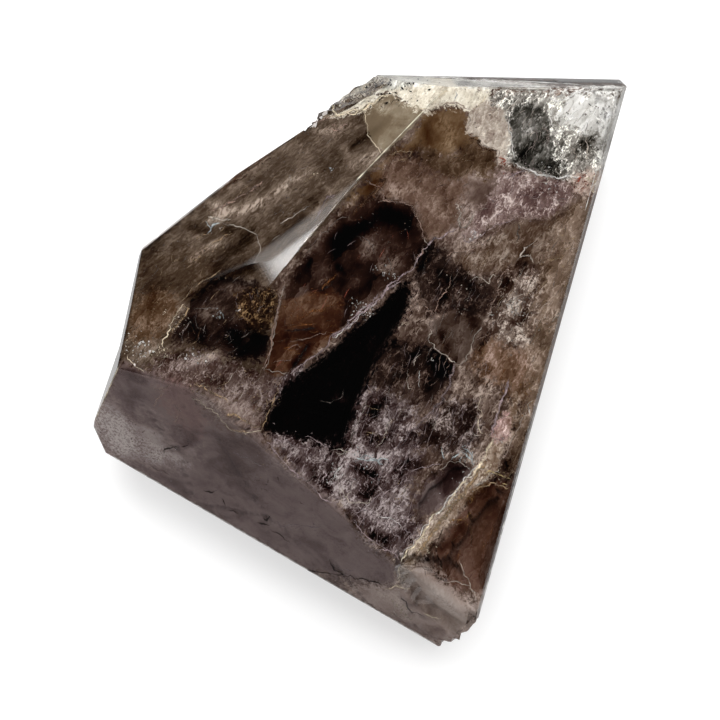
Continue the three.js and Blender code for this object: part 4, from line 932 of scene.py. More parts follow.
# %% Fine straight seams: outline, how many, their direction and its spread in degrees, length in mm, tints
SEAMS = [
    ("lowerveil", 150, 64, 16, 3.0, "lilac mauve mauve"), ("lowerveil", 70, -35, 30, 1.8, "lilac mauve"),
    ("dark_mid_low", 50, 64, 14, 3.0, "mauve lilac grey"), ("dark_mid", 50, 62, 16, 2.6, "mauve grey umber"),
    ("dark_centre", 60, 66, 16, 2.8, "mauve grey pinkish"),
    ("right_glitter", 90, 62, 22, 2.2, "pale tan grey pinkish"),
    ("rightband", 70, 68, 10, 3.2, "pinkish tan grey"), ("rust_right", 30, 64, 14, 2.6, "amber pinkish tan"),
    ("brown_mid", 50, 50, 24, 2.2, "pinkish tan grey"), ("purple_mauve", 60, 20, 30, 1.8, "lilac pale mauve"),
    ("pinkbrown", 50, 30, 26, 1.8, "pinkish tan umber"), ("olive_right", 30, 40, 20, 1.8, "tan umber"),
    ("veilband", 70, 34, 26, 1.8, "pale mauve tan"), ("darkvee", 60, 70, 30, 1.8, "mauve umber grey"),
    ("face_a", 150, 38, 8, 2.6, "umber grey tan"), ("brownleft", 40, 44, 20, 1.6, "tan grey"),
    ("dome", 60, 52, 18, 2.2, "umber mauve rust"), ("plate", 50, 8, 8, 2.6, "umber amber"),
    ("darkblock", 40, 60, 16, 2.4, "grey pale"), ("whitezone", 40, 62, 12, 2.2, "grey white pale"),
    ("glassy", 30, 62, 10, 2.4, "umber amber"), ("vein", 40, 40, 20, 1.4, "cream tan pale"),
    ("leaf", 24, 68, 8, 2.6, "grey umber"),
]


def seams(outline, count, way, spread, length):
    """Short, slightly bowed lines scattered inside the outline: places picked at random in its box and kept where
    the distance is negative, but not in the black window, each line half a length to either side along a
    direction near the given one."""
    points = tenths(OUTLINES[outline])
    middle = rng.uniform(points.min(axis=0), points.max(axis=0), (count * 12, 2))
    inside = signed_distance(middle, OUTLINES[outline]) < -0.2
    middle = middle[inside & (signed_distance(middle, OUTLINES["window"]) > 0.3)][:count]
    turn = np.radians(rng.normal(way, spread, len(middle)))
    along = np.stack([np.cos(turn), np.sin(turn)], axis=1)
    half = (length * rng.uniform(0.12, 0.5, len(middle)) ** 1.3)[:, None] * along
    bow = rng.normal(0, 0.12, (len(middle), 1)) * half[:, ::-1] * [-1, 1]
    return (np.stack([middle - half, middle + bow, middle + half], axis=1) * 10).reshape(-1, 6)


drawn = [(*crack, 1.0, LINE_DEPTH_MM) for crack in HEALED_CRACKS]
for outline, count, way, spread, length, names in SEAMS:
    for path in seams(outline, count, way, spread, length):
        tint, width, gaps = rng.choice(names.split()), rng.uniform(0.05, 0.12), rng.uniform(0.1, 0.6)
        drawn.append((tint, width, gaps, *path, SEAM_SHAKE, LINE_DEPTH_MM))
# The painted edge highlights and the pits lie on the polish
drawn += [(*edge, 0.0, ON_TOP_MM) for edge in PAINTED_EDGE_LINES] + [(*pit, 1.0, ON_TOP_MM) for pit in PITS]
print("traced lines:", len(HEALED_CRACKS), "all lines:", len(drawn))

# %% One mesh of them all
LONGEST_MM = 1.2  # a face that reaches further has jumped from one side of an edge to the other
places, faces, sides, tints, broken, depths = [], [], [], [], [], []
start = 0
for tint, width, gaps, *path, shake, depth in drawn:
    rows, quads_here, side, bright = ribbon(path, width, shake)
    for box, part in ((places, rows), (faces, quads_here + start), (sides, side),
                      (tints, np.tile(srgb(*TINTS[tint]), (len(rows), 1)) * bright),
                      (broken, np.full(len(rows), 0.1 + 0.7 * gaps)), (depths, np.full(len(rows), depth))):
        box.append(part)
    start += len(rows)
for tint, x, y, spread, count, size in GLINTS:
    rows, quads_here, side = flakes(x, y, spread, count, size)
    bright = np.repeat(rng.uniform(0.25, 1.0, count), 4)[:, None]
    for box, part in ((places, rows), (faces, quads_here + start), (sides, side),
                      (tints, np.tile(srgb(*TINTS[tint]), (len(rows), 1)) * bright), (broken, np.zeros(len(rows))),
                      (depths, np.full(len(rows), LINE_DEPTH_MM))):
        box.append(part)
    start += len(rows)
places, faces, sides, tints, broken, depths = (
    np.concatenate(v) for v in (places, faces, sides, tints, broken, depths))
points, missed = under_polish(places, depths)
faces = faces[~missed[faces].any(axis=1)]
reach_out = np.linalg.norm(points[faces] - points[faces].mean(axis=1, keepdims=True), axis=2).max(axis=1)
faces = faces[reach_out < LONGEST_MM * MM]
print("crack and glint faces:", len(faces))

# %% The mesh of cracks and glints
# One mesh holds the healed cracks, seams and pits, and also the painted glints and the painted edge highlights
line_mesh = bpy.data.meshes.new("cracks_and_painted_glints")
kept = np.unique(faces)
number = np.zeros(len(points), int)
number[kept] = np.arange(len(kept))
line_mesh.from_pydata(points[kept].tolist(), [], number[faces].tolist())
for name, values in (("side", sides), ("broken", broken)):
    line_mesh.attributes.new(name, "FLOAT", "POINT").data.foreach_set("value", values[kept].astype(np.float32))
tint_layer = line_mesh.color_attributes.new("tint", "FLOAT_COLOR", "POINT")
tint_layer.data.foreach_set("color", tints[kept].astype(np.float32).ravel())
cracks = bpy.data.objects.new("cracks_and_painted_glints", line_mesh)
bpy.context.scene.collection.objects.link(cracks)
print("crack vertices:", len(kept))

# %% [markdown]
# ## Helpers for shader nodes
# A material is a small factory of nodes. These helpers add a node, set its values and join it up in one line,
# so that the recipes further down read like recipes.

# %% Node helpers


class Recipe:
    """Adds nodes to a tree. Values may be numbers, colours or another node's output."""

    def __init__(self, tree):
        self.tree = tree

    def add(self, kind, inputs=None, **settings):
        node = self.tree.nodes.new(kind)
        for name, value in settings.items():
            setattr(node, name, value)
        for socket, value in (inputs or {}).items():
            if isinstance(value, bpy.types.NodeSocket):
                self.tree.links.new(value, node.inputs[socket])
            else:
                node.inputs[socket].default_value = value
        return node

    def math(self, operation, *values, clamp=False):
        inputs = {i: v for i, v in enumerate(values)}
        return self.add("ShaderNodeMath", inputs, operation=operation, use_clamp=clamp).outputs[0]

    def between(self, value, low, high, to_low=0.0, to_high=1.0):
        inputs = {"Value": value, "From Min": low, "From Max": high, "To Min": to_low, "To Max": to_high}
        return self.add("ShaderNodeMapRange", inputs, interpolation_type="SMOOTHSTEP").outputs["Result"]

    def blend(self, amount, first, second):
        return self.add("ShaderNodeMix", {0: amount, 6: first, 7: second}, data_type="RGBA",
                        clamp_factor=False).outputs[2]

    def mixed(self, *shares):
        """Sum of value times weight."""
        total = 0.0
        for value, weight in shares:
            part = self.math("MULTIPLY", value, weight)
            total = part if isinstance(total, float) else self.math("ADD", total, part)
        return total

    def noise(self, place, scale, detail=3.0, rough=0.5, warp=0.0):
        inputs = {"Vector": place, "Scale": scale, "Detail": detail, "Roughness": rough, "Distortion": warp}
        return self.add("ShaderNodeTexNoise", inputs).outputs["Fac"]

    def cells(self, place, scale):
        """A random tone for each cell of a Voronoi pattern, and the distance from the cell's middle."""
        node = self.add("ShaderNodeTexVoronoi", {"Vector": place, "Scale": scale})
        return self.add("ShaderNodeSeparateColor", {0: node.outputs["Color"]}).outputs[0], node.outputs["Distance"]

    def turned(self, place, turn, stretch):
        inputs = {"Vector": place, "Rotation": turn, "Scale": stretch}
        return self.add("ShaderNodeMapping", inputs, vector_type="TEXTURE").outputs[0]

    def millimetres(self):
        place = self.add("ShaderNodeTexCoord").outputs["Object"]
        return self.add("ShaderNodeVectorMath", {0: place, 1: (1000, 1000, 1000)}, operation="MULTIPLY").outputs[0]


# %% [markdown]
# ## One coat of paint for one outline
# Every patch inside the stone is laid on in the same way: three tones that a pattern runs through, kept inside
# the outline with a frayed edge, and often a bright rim, where the patch ends in a healed crack. One node group
# does that, and each patch gets its own copy of it with its own values.

# %% Node group: zone coat


def zone_coat_group():
    """Share inside = smooth step of (frayed distance) over the soft width. Tone = dark to middle by the lower
    half of the pattern, then on to light by the upper half. Rim = 1 where the frayed distance is 0, falling to 0
    at the rim width."""
    group = bpy.data.node_groups.new("Zone coat", "ShaderNodeTree")
    face = group.interface
    for name in ("Below", "Dark", "Middle", "Light"):
        face.new_socket(name, in_out="INPUT", socket_type="NodeSocketColor")
    for name, value in (("Lower", 0.5), ("Upper", 0.5), ("Strength", 1.0), ("Distance", 1.0), ("Fray", 0.0),
                        ("Fray width", 0.5), ("Soft", 0.3), ("Rim width", 0.2), ("Rim strength", 0.0)):
        face.new_socket(name, in_out="INPUT", socket_type="NodeSocketFloat").default_value = value
    face.new_socket("Colour", in_out="OUTPUT", socket_type="NodeSocketColor")
    make = Recipe(group)
    given = make.add("NodeGroupInput").outputs
    frayed = make.math("MULTIPLY_ADD", given["Fray"], given["Fray width"], given["Distance"])
    outer = make.math("MULTIPLY", given["Soft"], -1.0)
    share = make.math("MULTIPLY", make.between(frayed, given["Soft"], outer), given["Strength"])
    coat = make.blend(given["Lower"], given["Dark"], given["Middle"])
    coat = make.blend(given["Upper"], coat, given["Light"])
    colour = make.blend(share, given["Below"], coat)
    off_rim = make.math("DIVIDE", make.math("ABSOLUTE", frayed), given["Rim width"])
    rim = make.math("MULTIPLY", make.between(off_rim, 1.0, 0.0), given["Rim strength"])
    rim = make.math("MULTIPLY", rim, given["Lower"], clamp=True)
    final = make.blend(rim, colour, given["Light"])
    make.add("NodeGroupOutput", {"Colour": final})
    return group


zone_coat = zone_coat_group()
print("zone coat nodes:", len(zone_coat.nodes))

# %% [markdown]
# ## The patterns the coats share
# Streaks and broken plates along two directions, clouds, grain and hair-fine healed cracks are worked out once,
# in the stone's own millimetres, so they run on round the corners to the sides that the photo does not show.

# %% Paint for the inside
inside_paint = bpy.data.materials.new("grown_inside_paint")
inside_paint.use_nodes = True
inside_paint.node_tree.nodes.clear()
make = Recipe(inside_paint.node_tree)
place = make.millimetres()


def shaken(place, scale, detail, reach):
    """Moves a place by a noise, so that straight patterns come out bent and jagged."""
    noise = make.add("ShaderNodeTexNoise", {"Vector": place, "Scale": scale, "Detail": detail, "Roughness": 0.6})
    move = make.add("ShaderNodeVectorMath", {0: noise.outputs["Color"], 1: (reach,) * 3}, operation="MULTIPLY")
    return make.add("ShaderNodeVectorMath", {0: place, 1: move.outputs[0]}, operation="ADD").outputs[0]


def plates(place, scale, slope):
    """Broken plates: each Voronoi cell has a tone of its own and gets lighter from one side to the other, by how
    far the place lies across from the cell's middle."""
    cell = make.add("ShaderNodeTexVoronoi", {"Vector": place, "Scale": scale}).outputs
    tone = make.add("ShaderNodeSeparateColor", {0: cell["Color"]}).outputs[0]
    off = make.add("ShaderNodeVectorMath", {0: place, 1: cell["Position"]}, operation="SUBTRACT").outputs[0]
    across = make.add("ShaderNodeSeparateXYZ", {0: off}).outputs["Y"]
    return make.math("MULTIPLY_ADD", across, scale * slope, tone)


def borders(place, scale, thin):
    """1 on the thin borders between the cells of the same pattern."""
    border = make.add("ShaderNodeTexVoronoi", {"Vector": place, "Scale": scale}, feature="DISTANCE_TO_EDGE")
    return make.between(border.outputs["Distance"], thin, 0.0)


def hairs(place, scale, thin, detail=4.0):
    """1 along the lines where a noise crosses one half, 0 elsewhere: long thin wandering cracks."""
    away = make.math("ABSOLUTE", make.math("SUBTRACT", make.noise(place, scale, detail, 0.6, 0.4), 0.5))
    return make.between(away, thin, 0.0)


WAY_A, WAY_B = (-0.2, 0.1, math.radians(38)), (0.3, 0.35, math.radians(66))
bent, jagged = shaken(place, 0.5, 2.5, 2.2), shaken(place, 0.9, 2.5, 1.0)
along_a, along_b = make.turned(jagged, WAY_A, (2.4, 0.7, 0.8)), make.turned(jagged, WAY_B, (2.4, 0.7, 0.8))
large = make.noise(place, 0.30, 3.0, 0.5, 0.6)
fine = make.noise(place, 2.2, 4.0, 0.7, 0.3)
streak_a, streak_b = make.noise(along_a, 2.4, 4.0, 0.7, 0.2), make.noise(along_b, 2.4, 4.0, 0.7, 0.2)
grit = make.between(make.noise(place, 3.6, 3.0, 0.6), 0.36, 0.64)
cut = make.between(make.noise(bent, 0.8, 6.0, 0.62), 0.44, 0.56)
slabs = make.turned(bent, WAY_B, (3.0, 1.0, 1.2))
slab_b, plate_b = plates(slabs, 0.5, 0.4), plates(along_b, 0.9, 0.3)
plate_a, splinter_a, splinter_b = (make.cells(*way)[0] for way in ((along_a, 0.9), (along_a, 2.4), (along_b, 2.2)))
patches = make.between(make.noise(place, 0.9, 4.0, 0.7), 0.44, 0.58)
rims = make.math("MULTIPLY", make.math("MAXIMUM", borders(along_b, 0.9, 0.075), borders(slabs, 0.5, 0.06)), patches)
veins_b = make.math("MULTIPLY", hairs(along_b, 0.6, 0.03, 2.0), patches)
veins_c = make.math("MULTIPLY", hairs(bent, 0.8, 0.025, 2.0), patches)
faded = make.between(make.noise(place, 0.22, 2.0), 0.4, 0.6)
shade = make.add("ShaderNodeAttribute", attribute_name="shade").outputs["Fac"]
broken_up = make.between(streak_b, 0.38, 0.6, 0.1, 1.7)
lights_only = make.between(shade, 0.0, 0.2)
patchiness = make.add("ShaderNodeMix", {0: lights_only, 2: 1.0, 3: broken_up}, data_type="FLOAT").outputs[0]
shade = make.math("MULTIPLY", shade, patchiness)


def pattern(*shares):
    """One half, plus the traced lights and shadows, plus each noise's distance from one half times its weight."""
    total = make.math("ADD", shade, 0.5 - 0.5 * sum(weight for value, weight in shares))
    for value, weight in shares:
        total = make.math("MULTIPLY_ADD", value, weight, total)
    return total


def with_veins(field, *veins):
    """Adds the thin healed cracks: these only ever lighten."""
    for value, weight in veins:
        field = make.math("MULTIPLY_ADD", value, weight, field)
    return field


FIELDS = {
    "smoke": with_veins(pattern((large, 0.7), (plate_a, 0.25), (splinter_a, 0.2), (streak_a, 0.9), (fine, 0.2)),
                        (rims, 0.2)),
    "fibres": with_veins(pattern((large, 0.5), (slab_b, 0.3), (plate_b, 0.24), (splinter_b, 0.12), (streak_b, 1.0)),
                         (rims, 0.35), (veins_b, 0.5)),
    "veils": with_veins(pattern((large, 0.4), (slab_b, 0.28), (plate_b, 0.24), (splinter_b, 0.18), (streak_b, 1.0),
                                (grit, 0.06)),
                        (rims, 0.5), (veins_c, 0.7), (veins_b, 0.6)),
    "clouds": pattern((large, 1.6), (streak_b, 0.5), (cut, 0.05)),
    "granular": with_veins(pattern((large, 0.5), (fine, 0.5), (grit, 0.12), (cut, 0.1), (plate_b, 0.28),
                                   (splinter_b, 0.2), (streak_b, 0.5)),
                           (rims, 0.3)),
    "glassy": with_veins(pattern((large, 0.9), (slab_b, 0.35), (plate_b, 0.1), (streak_b, 0.4)), (rims, 0.2)),
    "deep": with_veins(pattern((large, 0.7), (slab_b, 0.14), (plate_b, 0.06)),
                       (make.math("MULTIPLY", veins_c, faded), 0.5)),
}


def halves(field):
    """The lower half of a pattern, 0 to 1 from dark to middle, and the upper half, on from middle to light. Both
    may overshoot a little, for the deepest pits and the brightest veins."""
    lower = make.math("MAXIMUM", make.math("MINIMUM", make.math("MULTIPLY", field, 2.0), 1.0), -0.4)
    return lower, make.math("MINIMUM", make.math("MAXIMUM", make.math("MULTIPLY_ADD", field, 2.0, -1.0), 0.0), 1.8)


FIELDS = {name: halves(field) for name, field in FIELDS.items()}
print("shared patterns:", ", ".join(FIELDS))

# %% [markdown]
# ## The coats, from the back of the stone to the front
# The ground is smoky quartz, brown-black, with paler fibres. Over it come the patches in the order in which they
# overlap in the photo. The three tones of each were set by hand, by comparing the darks, middles and lights of
# that patch in the photo and in a render. They are screen tones and are mixed as such, and one Gamma of 2.2 at
# the very end turns the finished colour into light.

# %% The coats
COATS = [
    # outline, dark, middle, light, pattern, strength, fray, soft, rim width, rim strength
    ("face_a", (38, 27, 18), (80, 67, 56), (132, 118, 106), "smoke", 1.0, 0.6, 0.3, 0.2, 0.0),
    ("brownleft", (30, 16, 7), (63, 50, 38), (110, 94, 82), "smoke", 0.9, 1.5, 0.5, 0.25, 0.2),
    ("amber_left", (42, 24, 10), (78, 58, 42), (128, 108, 92), "granular", 0.9, 1.5, 0.5, 0.25, 0.2),
    ("black_left", (4, 1, 1), (20, 8, 7), (62, 46, 44), "deep", 0.95, 1.2, 0.4, 0.25, 0.2),
    ("darkvee", (11, 3, 2), (40, 28, 23), (92, 78, 70), "smoke", 0.95, 1.0, 0.35, 0.25, 0.4),
    ("crackle", (8, 2, 0), (28, 16, 9), (100, 78, 54), "veils", 0.9, 1.0, 0.4, 0.2, 0.0),
    ("veilband", (28, 13, 10), (70, 54, 49), (118, 103, 98), "veils", 0.95, 1.5, 0.5, 0.25, 0.2),
    ("mauve", (60, 43, 37), (98, 81, 73), (164, 148, 140), "clouds", 0.9, 1.0, 0.5, 0.25, 0.2),
    ("redbrown", (62, 40, 22), (98, 76, 54), (138, 116, 92), "clouds", 0.95, 1.0, 0.4, 0.25, 0.1),
    ("olive_right", (48, 34, 22), (80, 62, 47), (118, 100, 84), "granular", 0.95, 1.2, 0.4, 0.25, 0.1),
    ("pinkbrown", (62, 44, 34), (97, 76, 64), (134, 114, 102), "granular", 0.95, 1.2, 0.5, 0.25, 0.1),
    ("purple_mauve", (66, 46, 44), (110, 90, 86), (172, 155, 150), "veils", 0.95, 1.0, 0.35, 0.3, 0.4),
    ("brown_mid", (38, 24, 15), (80, 62, 50), (126, 110, 98), "fibres", 0.95, 1.0, 0.4, 0.25, 0.2),
    ("right_glitter", (28, 14, 8), (76, 60, 52), (156, 142, 132), "veils", 0.95, 1.5, 0.6, 0.25, 0.0),
    ("rust_right", (60, 40, 28), (104, 80, 62), (146, 122, 108), "fibres", 0.9, 1.5, 0.6, 0.25, 0.0),
    ("rightband", (66, 50, 38), (106, 88, 74), (150, 132, 118), "fibres", 0.9, 1.6, 0.7, 0.2, 0.0),
    ("dark_mid", (12, 5, 3), (44, 32, 27), (104, 88, 80), "fibres", 0.95, 1.4, 0.4, 0.3, 0.3),
    ("dark_centre", (9, 4, 3), (40, 28, 23), (96, 80, 72), "fibres", 0.95, 1.4, 0.4, 0.3, 0.3),
    ("dark_mid_low", (16, 5, 2), (38, 26, 22), (118, 105, 101), "veils", 0.9, 1.4, 0.5, 0.3, 0.2),
    ("lowerveil", (15, 5, 3), (66, 52, 51), (130, 118, 117), "veils", 0.95, 1.5, 0.5, 0.3, 0.2),
    ("lens", (44, 30, 28), (74, 60, 58), (108, 96, 94), "glassy", 0.95, 0.6, 0.25, 0.2, 0.4),
    ("leaf", (20, 7, 3), (68, 54, 46), (98, 84, 77), "glassy", 1.0, 0.4, 0.2, 0.22, 0.5),
    ("dome", (12, 4, 3), (40, 25, 19), (88, 72, 64), "glassy", 0.97, 0.8, 0.35, 0.3, 0.4),
    ("plate", (22, 4, 0), (62, 38, 25), (104, 80, 64), "glassy", 0.95, 0.3, 0.2, 0.2, 0.3),
    ("window", (1, 0, 0), (5, 2, 2), (46, 33, 32), "deep", 1.0, 1.0, 0.35, 0.25, 0.3),
    # Partly a haze in the stone, partly painted reflection: the grey sheen of the base face is painted into these
    # tones
    ("base_haze_and_sheen", (66, 52, 50), (116, 101, 98), (134, 120, 117), "clouds", 1.0, 1.0, 0.5, 0.25, 0.0),
    # Painted reflection: the soft pale sheen on the corner of the base face
    ("painted_sheen_corner", (84, 66, 64), (144, 130, 126), (186, 176, 172), "clouds", 0.9, 2.0, 1.6, 0.25, 0.0),
    ("tan", (80, 57, 46), (109, 92, 86), (140, 124, 117), "granular", 0.9, 1.5, 0.8, 0.25, 0.0),
    ("pinkpatch", (92, 70, 66), (122, 98, 94), (140, 118, 110), "clouds", 0.9, 1.5, 0.8, 0.25, 0.0),
    ("greypatch", (58, 42, 38), (88, 74, 70), (118, 104, 100), "clouds", 0.8, 1.0, 0.8, 0.25, 0.0),
    ("glassy", (44, 23, 14), (84, 60, 50), (122, 98, 88), "glassy", 0.97, 1.0, 0.4, 0.25, 0.2),
    ("seamglass", (38, 19, 11), (68, 45, 34), (98, 74, 62), "glassy", 0.97, 0.6, 0.3, 0.25, 0.3),
    ("milky", (110, 92, 83), (164, 148, 140), (190, 176, 168), "clouds", 0.97, 1.2, 0.5, 0.25, 0.2),
    ("vein", (70, 50, 34), (122, 102, 86), (198, 184, 170), "granular", 0.9, 0.7, 0.25, 0.25, 0.4),
    ("pinkglint", (100, 74, 64), (152, 124, 116), (220, 196, 190), "granular", 0.9, 0.6, 0.25, 0.25, 0.2),
    ("olive", (98, 85, 68), (112, 98, 80), (160, 150, 133), "clouds", 1.0, 0.3, 0.15, 0.2, 0.4),
    ("crust", (150, 139, 124), (216, 209, 193), (252, 250, 240), "granular", 0.97, 1.0, 0.3, 0.3, 0.3),
    ("stepped", (104, 87, 78), (173, 162, 151), (228, 219, 206), "granular", 0.97, 0.4, 0.2, 0.2, 0.4),
    ("tip", (36, 33, 28), (132, 128, 122), (232, 230, 222), "veils", 0.97, 0.6, 0.3, 0.25, 0.3),
    ("darkblock", (6, 5, 3), (64, 62, 57), (140, 137, 132), "fibres", 0.97, 0.8, 0.25, 0.2, 0.2),
    # Partly white veils, partly painted light: the tip is clear quartz, and the bright paper seen through it is
    # painted into these white tones
    ("whitezone", (122, 118, 112), (226, 225, 221), (255, 255, 255), "glassy", 0.95, 1.2, 0.5, 0.25, 0.0),
    ("rust_tip", (130, 104, 92), (204, 184, 172), (240, 234, 224), "granular", 0.8, 1.0, 0.6, 0.25, 0.0),
    ("greyrock", (114, 110, 102), (192, 190, 181), (246, 246, 239), "granular", 0.95, 0.8, 0.3, 0.25, 0.0),
    ("topgrey", (84, 82, 74), (194, 192, 184), (255, 255, 255), "granular", 0.95, 0.4, 0.2, 0.25, 0.0),
    ("topright", (190, 190, 184), (255, 255, 252), (255, 255, 255), "granular", 1.0, 0.4, 0.2, 0.25, 0.0),
]


def painted(tone):
    """A screen tone as a share of full, left as the eye sees it: the coats are mixed that way."""
    return (*[v / 255.0 for v in tone], 1.0)


wavy = make.between(make.noise(place, 1.7, 5.0, 0.72, 0.2), 0.36, 0.64, -0.65, 0.35)
wavy = make.math("MULTIPLY_ADD", plate_b, 0.3, wavy)
ground = make.blend(FIELDS["fibres"][0], painted((22, 13, 10)), painted((74, 58, 50)))
ground = make.blend(FIELDS["fibres"][1], ground, painted((132, 116, 106)))
colour = ground
for name, dark, middle, light, pattern, strength, fray, soft, rim_width, rim_strength in COATS:
    distance = make.add("ShaderNodeAttribute", attribute_name=name).outputs["Fac"]
    coat = make.add("ShaderNodeGroup", node_tree=zone_coat, label=name)
    for socket, value in (("Below", colour), ("Lower", FIELDS[pattern][0]), ("Upper", FIELDS[pattern][1]),
                          ("Fray", wavy), ("Distance", distance)):
        make.tree.links.new(value, coat.inputs[socket])
    for socket, value in (("Dark", painted(dark)), ("Middle", painted(middle)), ("Light", painted(light)),
                          ("Strength", strength), ("Fray width", fray), ("Soft", soft), ("Rim width", rim_width),
                          ("Rim strength", rim_strength)):
        coat.inputs[socket].default_value = value
    colour = coat.outputs["Colour"]
colour = make.add("ShaderNodeGamma", {"Color": colour, "Gamma": 2.2}).outputs[0]
height = make.mixed((fine, 0.6), (splinter_b, 0.4))
relief = make.add("ShaderNodeBump", {"Height": height, "Strength": 0.4, "Distance": 0.0002})
surface = make.add("ShaderNodeBsdfPrincipled", {"Base Color": colour, "Roughness": 0.5, "IOR": 1.03,
                                                "Normal": relief.outputs[0]})
make.add("ShaderNodeOutputMaterial", {"Surface": surface.outputs[0]})
inner_mesh.materials.append(inside_paint)
print("nodes in the inside paint:", len(inside_paint.node_tree.nodes))

# %% [markdown]
# ## Paint for the cracks and glints
# A healed crack is a veil of tiny bubbles: pale, brightest along its middle, and gone in places. Its tint comes
# from the mesh, and a fine pattern makes it patchy and fades it out towards its sides.

# %% Crack paint
# The same paint also colours the painted glints and the painted highlights along the edges: their light is only in
# their tints
crack_paint = bpy.data.materials.new("crack_and_glint_paint")
crack_paint.use_nodes = True
crack_paint.node_tree.nodes.clear()
make = Recipe(crack_paint.node_tree)
place = make.millimetres()
patchy = make.between(make.noise(place, 1.6, 4.0, 0.7, 0.5), 0.36, 0.64)
side = make.add("ShaderNodeAttribute", attribute_name="side").outputs["Fac"]
gaps = make.add("ShaderNodeAttribute", attribute_name="broken").outputs["Fac"]
tint = make.add("ShaderNodeAttribute", attribute_name="tint").outputs["Color"]
edge = make.between(make.math("ADD", make.math("ABSOLUTE", side), make.math("MULTIPLY", patchy, 0.35)), 1.15, 0.45)
kept_share = make.math("SUBTRACT", 1.0, make.math("MULTIPLY", gaps, make.math("SUBTRACT", 1.0, patchy)), clamp=True)
solid = make.math("MULTIPLY", edge, kept_share, clamp=True)
shade = make.blend(patchy, (0.55, 0.55, 0.55, 1), (1.0, 1.0, 1.0, 1))
lit_tint = make.add("ShaderNodeMix", {0: 1.0, 6: tint, 7: shade}, data_type="RGBA", blend_type="MULTIPLY").outputs[2]
surface = make.add("ShaderNodeBsdfPrincipled", {"Base Color": lit_tint, "Roughness": 0.5, "IOR": 1.2, "Alpha": solid})
make.add("ShaderNodeOutputMaterial", {"Surface": surface.outputs[0]})
line_mesh.materials.append(crack_paint)
print("nodes in the crack paint:", len(crack_paint.node_tree.nodes))

# %% [markdown]
# ## The clear skin
# Polished quartz bends light by 1.544 and is faintly smoky. The light that a lamp sends through the skin is let
# straight through, which is close to the truth for a layer this thin and keeps the picture free of noise.

# %% Polish, and unpolished skin


def clear_quartz(name, roughness, smear, bump):
    """Plain transmission, index and absorption. Smears of handling change the roughness a little."""
    glass = bpy.data.materials.new(name)
    glass.use_nodes = True
    glass.node_tree.nodes.clear()
    make = Recipe(glass.node_tree)
    place = make.millimetres()
    smudge = make.noise(place, 0.12, 4.0, 0.6, 0.8)
    rough = make.between(smudge, 0.35, 0.75, roughness, roughness + smear)
    fine = make.noise(place, 1.4, 5.0, 0.7)
    relief = make.add("ShaderNodeBump", {"Height": fine, "Strength": 1.0, "Distance": bump})
    solid = make.add("ShaderNodeBsdfPrincipled", {"Base Color": (1, 1, 1, 1), "Roughness": rough, "IOR": QUARTZ_IOR,
                                                  "Transmission Weight": 1.0, "Normal": relief.outputs[0]})
    open_way = make.add("ShaderNodeBsdfTransparent", {"Color": (0.96, 0.95, 0.94, 1)})
    shadow = make.add("ShaderNodeLightPath").outputs["Is Shadow Ray"]
    both = make.add("ShaderNodeMixShader", {0: shadow, 1: solid.outputs[0], 2: open_way.outputs[0]})
    smoke = make.add("ShaderNodeVolumeAbsorption", {"Color": (0.60, 0.50, 0.44, 1), "Density": 28.0})
    make.add("ShaderNodeOutputMaterial", {"Surface": both.outputs[0], "Volume": smoke.outputs[0]})
    return glass


skin_mesh.materials.clear()
skin_mesh.materials.append(clear_quartz("polished_quartz", 0.012, 0.03, 0.0))
skin_mesh.materials.append(clear_quartz("unpolished_quartz", 0.25, 0.15, 0.0002))
print("skin materials:", [m.name for m in skin_mesh.materials])

# %% [markdown]
# ## Joining the pieces to the model
# The clear skin stands for the CAD node, so the node itself is hidden. The inside rides with it.

# %% Ride and replace
for piece in (stone, grown, cracks):
    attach(piece, "root")
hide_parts("quartz_point")

# %% [markdown]
# ## Floor and light
# The photo was taken on bright white paper under soft light, so the shadow is faint and close to the stone. A
# little glow of the paper itself keeps the shadow faint, and that glow is dimmed where the stone is close: a
# painted contact shadow, on top of the softbox's own. One large softbox overhead is the key. Three soft bright
# spots of sky stand where the narrow facet beside the ridge and its shoulder mirror them, and the rest of the sky
# overhead is dark, so that the large faces stay deep.

# %% Floor
bpy.ops.mesh.primitive_plane_add(size=3.0)
floor = bpy.context.object
floor.name = "floor"
paper = bpy.data.materials.new("white_paper")
paper.use_nodes = True
make = Recipe(paper.node_tree)
paper_shader = paper.node_tree.nodes["Principled BSDF"]
paper_grain = make.noise(make.add("ShaderNodeTexCoord").outputs["Object"], 900.0, 3.0)
paper_tone = make.blend(paper_grain, (0.30, 0.30, 0.30, 1), (0.31, 0.31, 0.31, 1))
# Painted shadow: the paper's glow is dimmed where the ambient occlusion finds the stone close
nearness = make.add("ShaderNodeAmbientOcclusion", {"Distance": 0.0090}, samples=16).outputs["AO"]
glow_with_painted_shadow = make.between(nearness, 0.36, 1.0, 0.66, 0.95)
make.tree.links.new(paper_tone, paper_shader.inputs["Base Color"])
make.tree.links.new(make.add("ShaderNodeCombineColor", {0: glow_with_painted_shadow, 1: glow_with_painted_shadow, 2: glow_with_painted_shadow}).outputs[0],
                    paper_shader.inputs["Emission Color"])
paper_shader.inputs["Emission Strength"].default_value = 1.0
paper_shader.inputs["Roughness"].default_value = 0.9
paper_shader.inputs["Specular IOR Level"].default_value = 0.0
floor.data.materials.append(paper)
floor.visible_glossy = False
print("floor at z =", floor.location.z)

# %% Lamps


def softbox(name, towards, distance, size, power, colour=(1, 1, 1)):
    """A square lamp that far from the stone, in that direction, turned to face it."""
    way = np.array(towards, float)
    way /= np.linalg.norm(way)
    data = bpy.data.lights.new(name, "AREA")
    data.shape, data.size, data.energy, data.color = "SQUARE", size, power, colour
    lamp = bpy.data.objects.new(name, data)
    lamp.location = HEART + way * distance
    lamp.rotation_euler = Vector(way).to_track_quat("Z", "Y").to_euler()
    bpy.context.scene.collection.objects.link(lamp)
    return lamp


softbox("key_softbox", (0.12, 0.32, 0.94), 1.0, 0.9, 9.5)

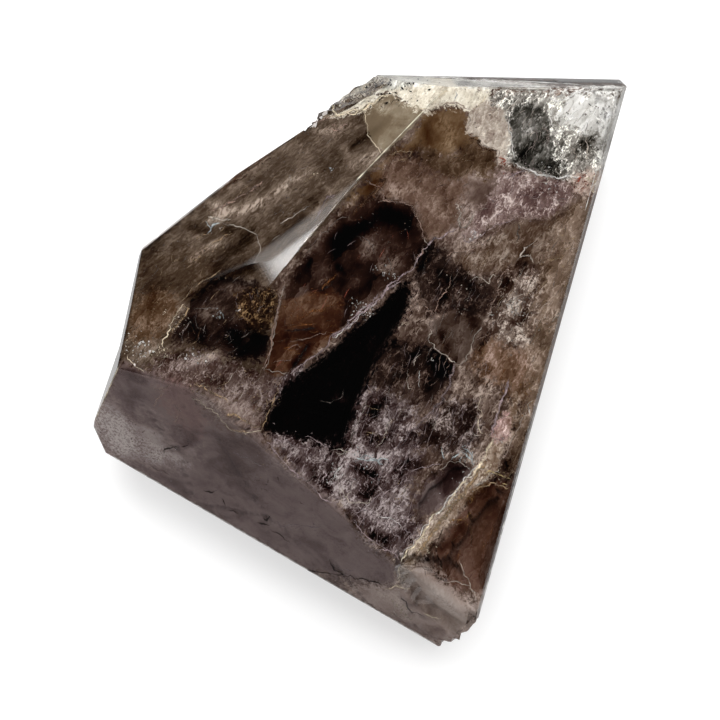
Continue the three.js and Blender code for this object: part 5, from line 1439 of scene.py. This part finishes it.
# %% Sky: pale at the horizon, dark overhead, with soft spots for the narrow facet and its shoulder
SPOTS = [  # direction, full brightness within and none beyond that many degrees, strength
    ((-0.31, 0.74, 0.60), 0.0, 8.0, 12.0), ((-0.36, 0.80, 0.48), 0.0, 9.5, 2.4),
    ((-0.11, 0.63, 0.77), 0.0, 7.0, 12.0),
]
LOW_CARDS = [  # direction, agreement where the card begins and where it is full, share of light it leaves
    ((0.42, 0.18, -0.89), 0.86, 0.97, 0.38), ((0.02, 0.62, -0.79), 0.88, 0.97, 0.45),
    ((-0.46, -0.58, -0.67), 0.7, 0.95, 0.42),
]
BASE_LOW = (-0.46, -0.58, -0.67)


def dot(first, second):
    """How nearly two directions agree: 1 when they are the same."""
    second = tuple(float(v) for v in np.array(second) / np.linalg.norm(second))
    return make.add("ShaderNodeVectorMath", {0: first, 1: second}, operation="DOT_PRODUCT").outputs["Value"]


sky = bpy.data.worlds.new("studio")
bpy.context.scene.world = sky
sky.use_nodes = True
sky.node_tree.nodes.clear()
make = Recipe(sky.node_tree)
look = make.add("ShaderNodeTexCoord").outputs["Generated"]
up_part = make.add("ShaderNodeSeparateXYZ", {0: look}).outputs["Z"]
glow = make.between(up_part, 0.0, 0.2, 0.9, 0.03)
card = 0.95
for way, far, near, level in LOW_CARDS:
    card = make.math("MULTIPLY", card, make.between(dot(look, way), far, near, 1.0, level))
below = make.between(up_part, 0.0, -0.05)
card_tone = make.blend(make.between(dot(look, BASE_LOW), 0.7, 0.95), (1, 1, 1, 1), (1.0, 0.80, 0.80, 1))
glow = make.add("ShaderNodeMix", {0: below, 2: glow, 3: card}, data_type="FLOAT").outputs[0]
for way, inner_deg, outer_deg, strength in SPOTS:
    near, far = math.cos(math.radians(inner_deg)), math.cos(math.radians(outer_deg))
    glow = make.math("ADD", glow, make.between(dot(look, way), far, near, 0.0, strength))
background = make.add("ShaderNodeBackground", {"Color": card_tone, "Strength": glow})
make.add("ShaderNodeOutputWorld", {"Surface": background.outputs[0]})
bpy.context.scene.view_settings.view_transform = "Standard"
print("sky nodes:", len(sky.node_tree.nodes))
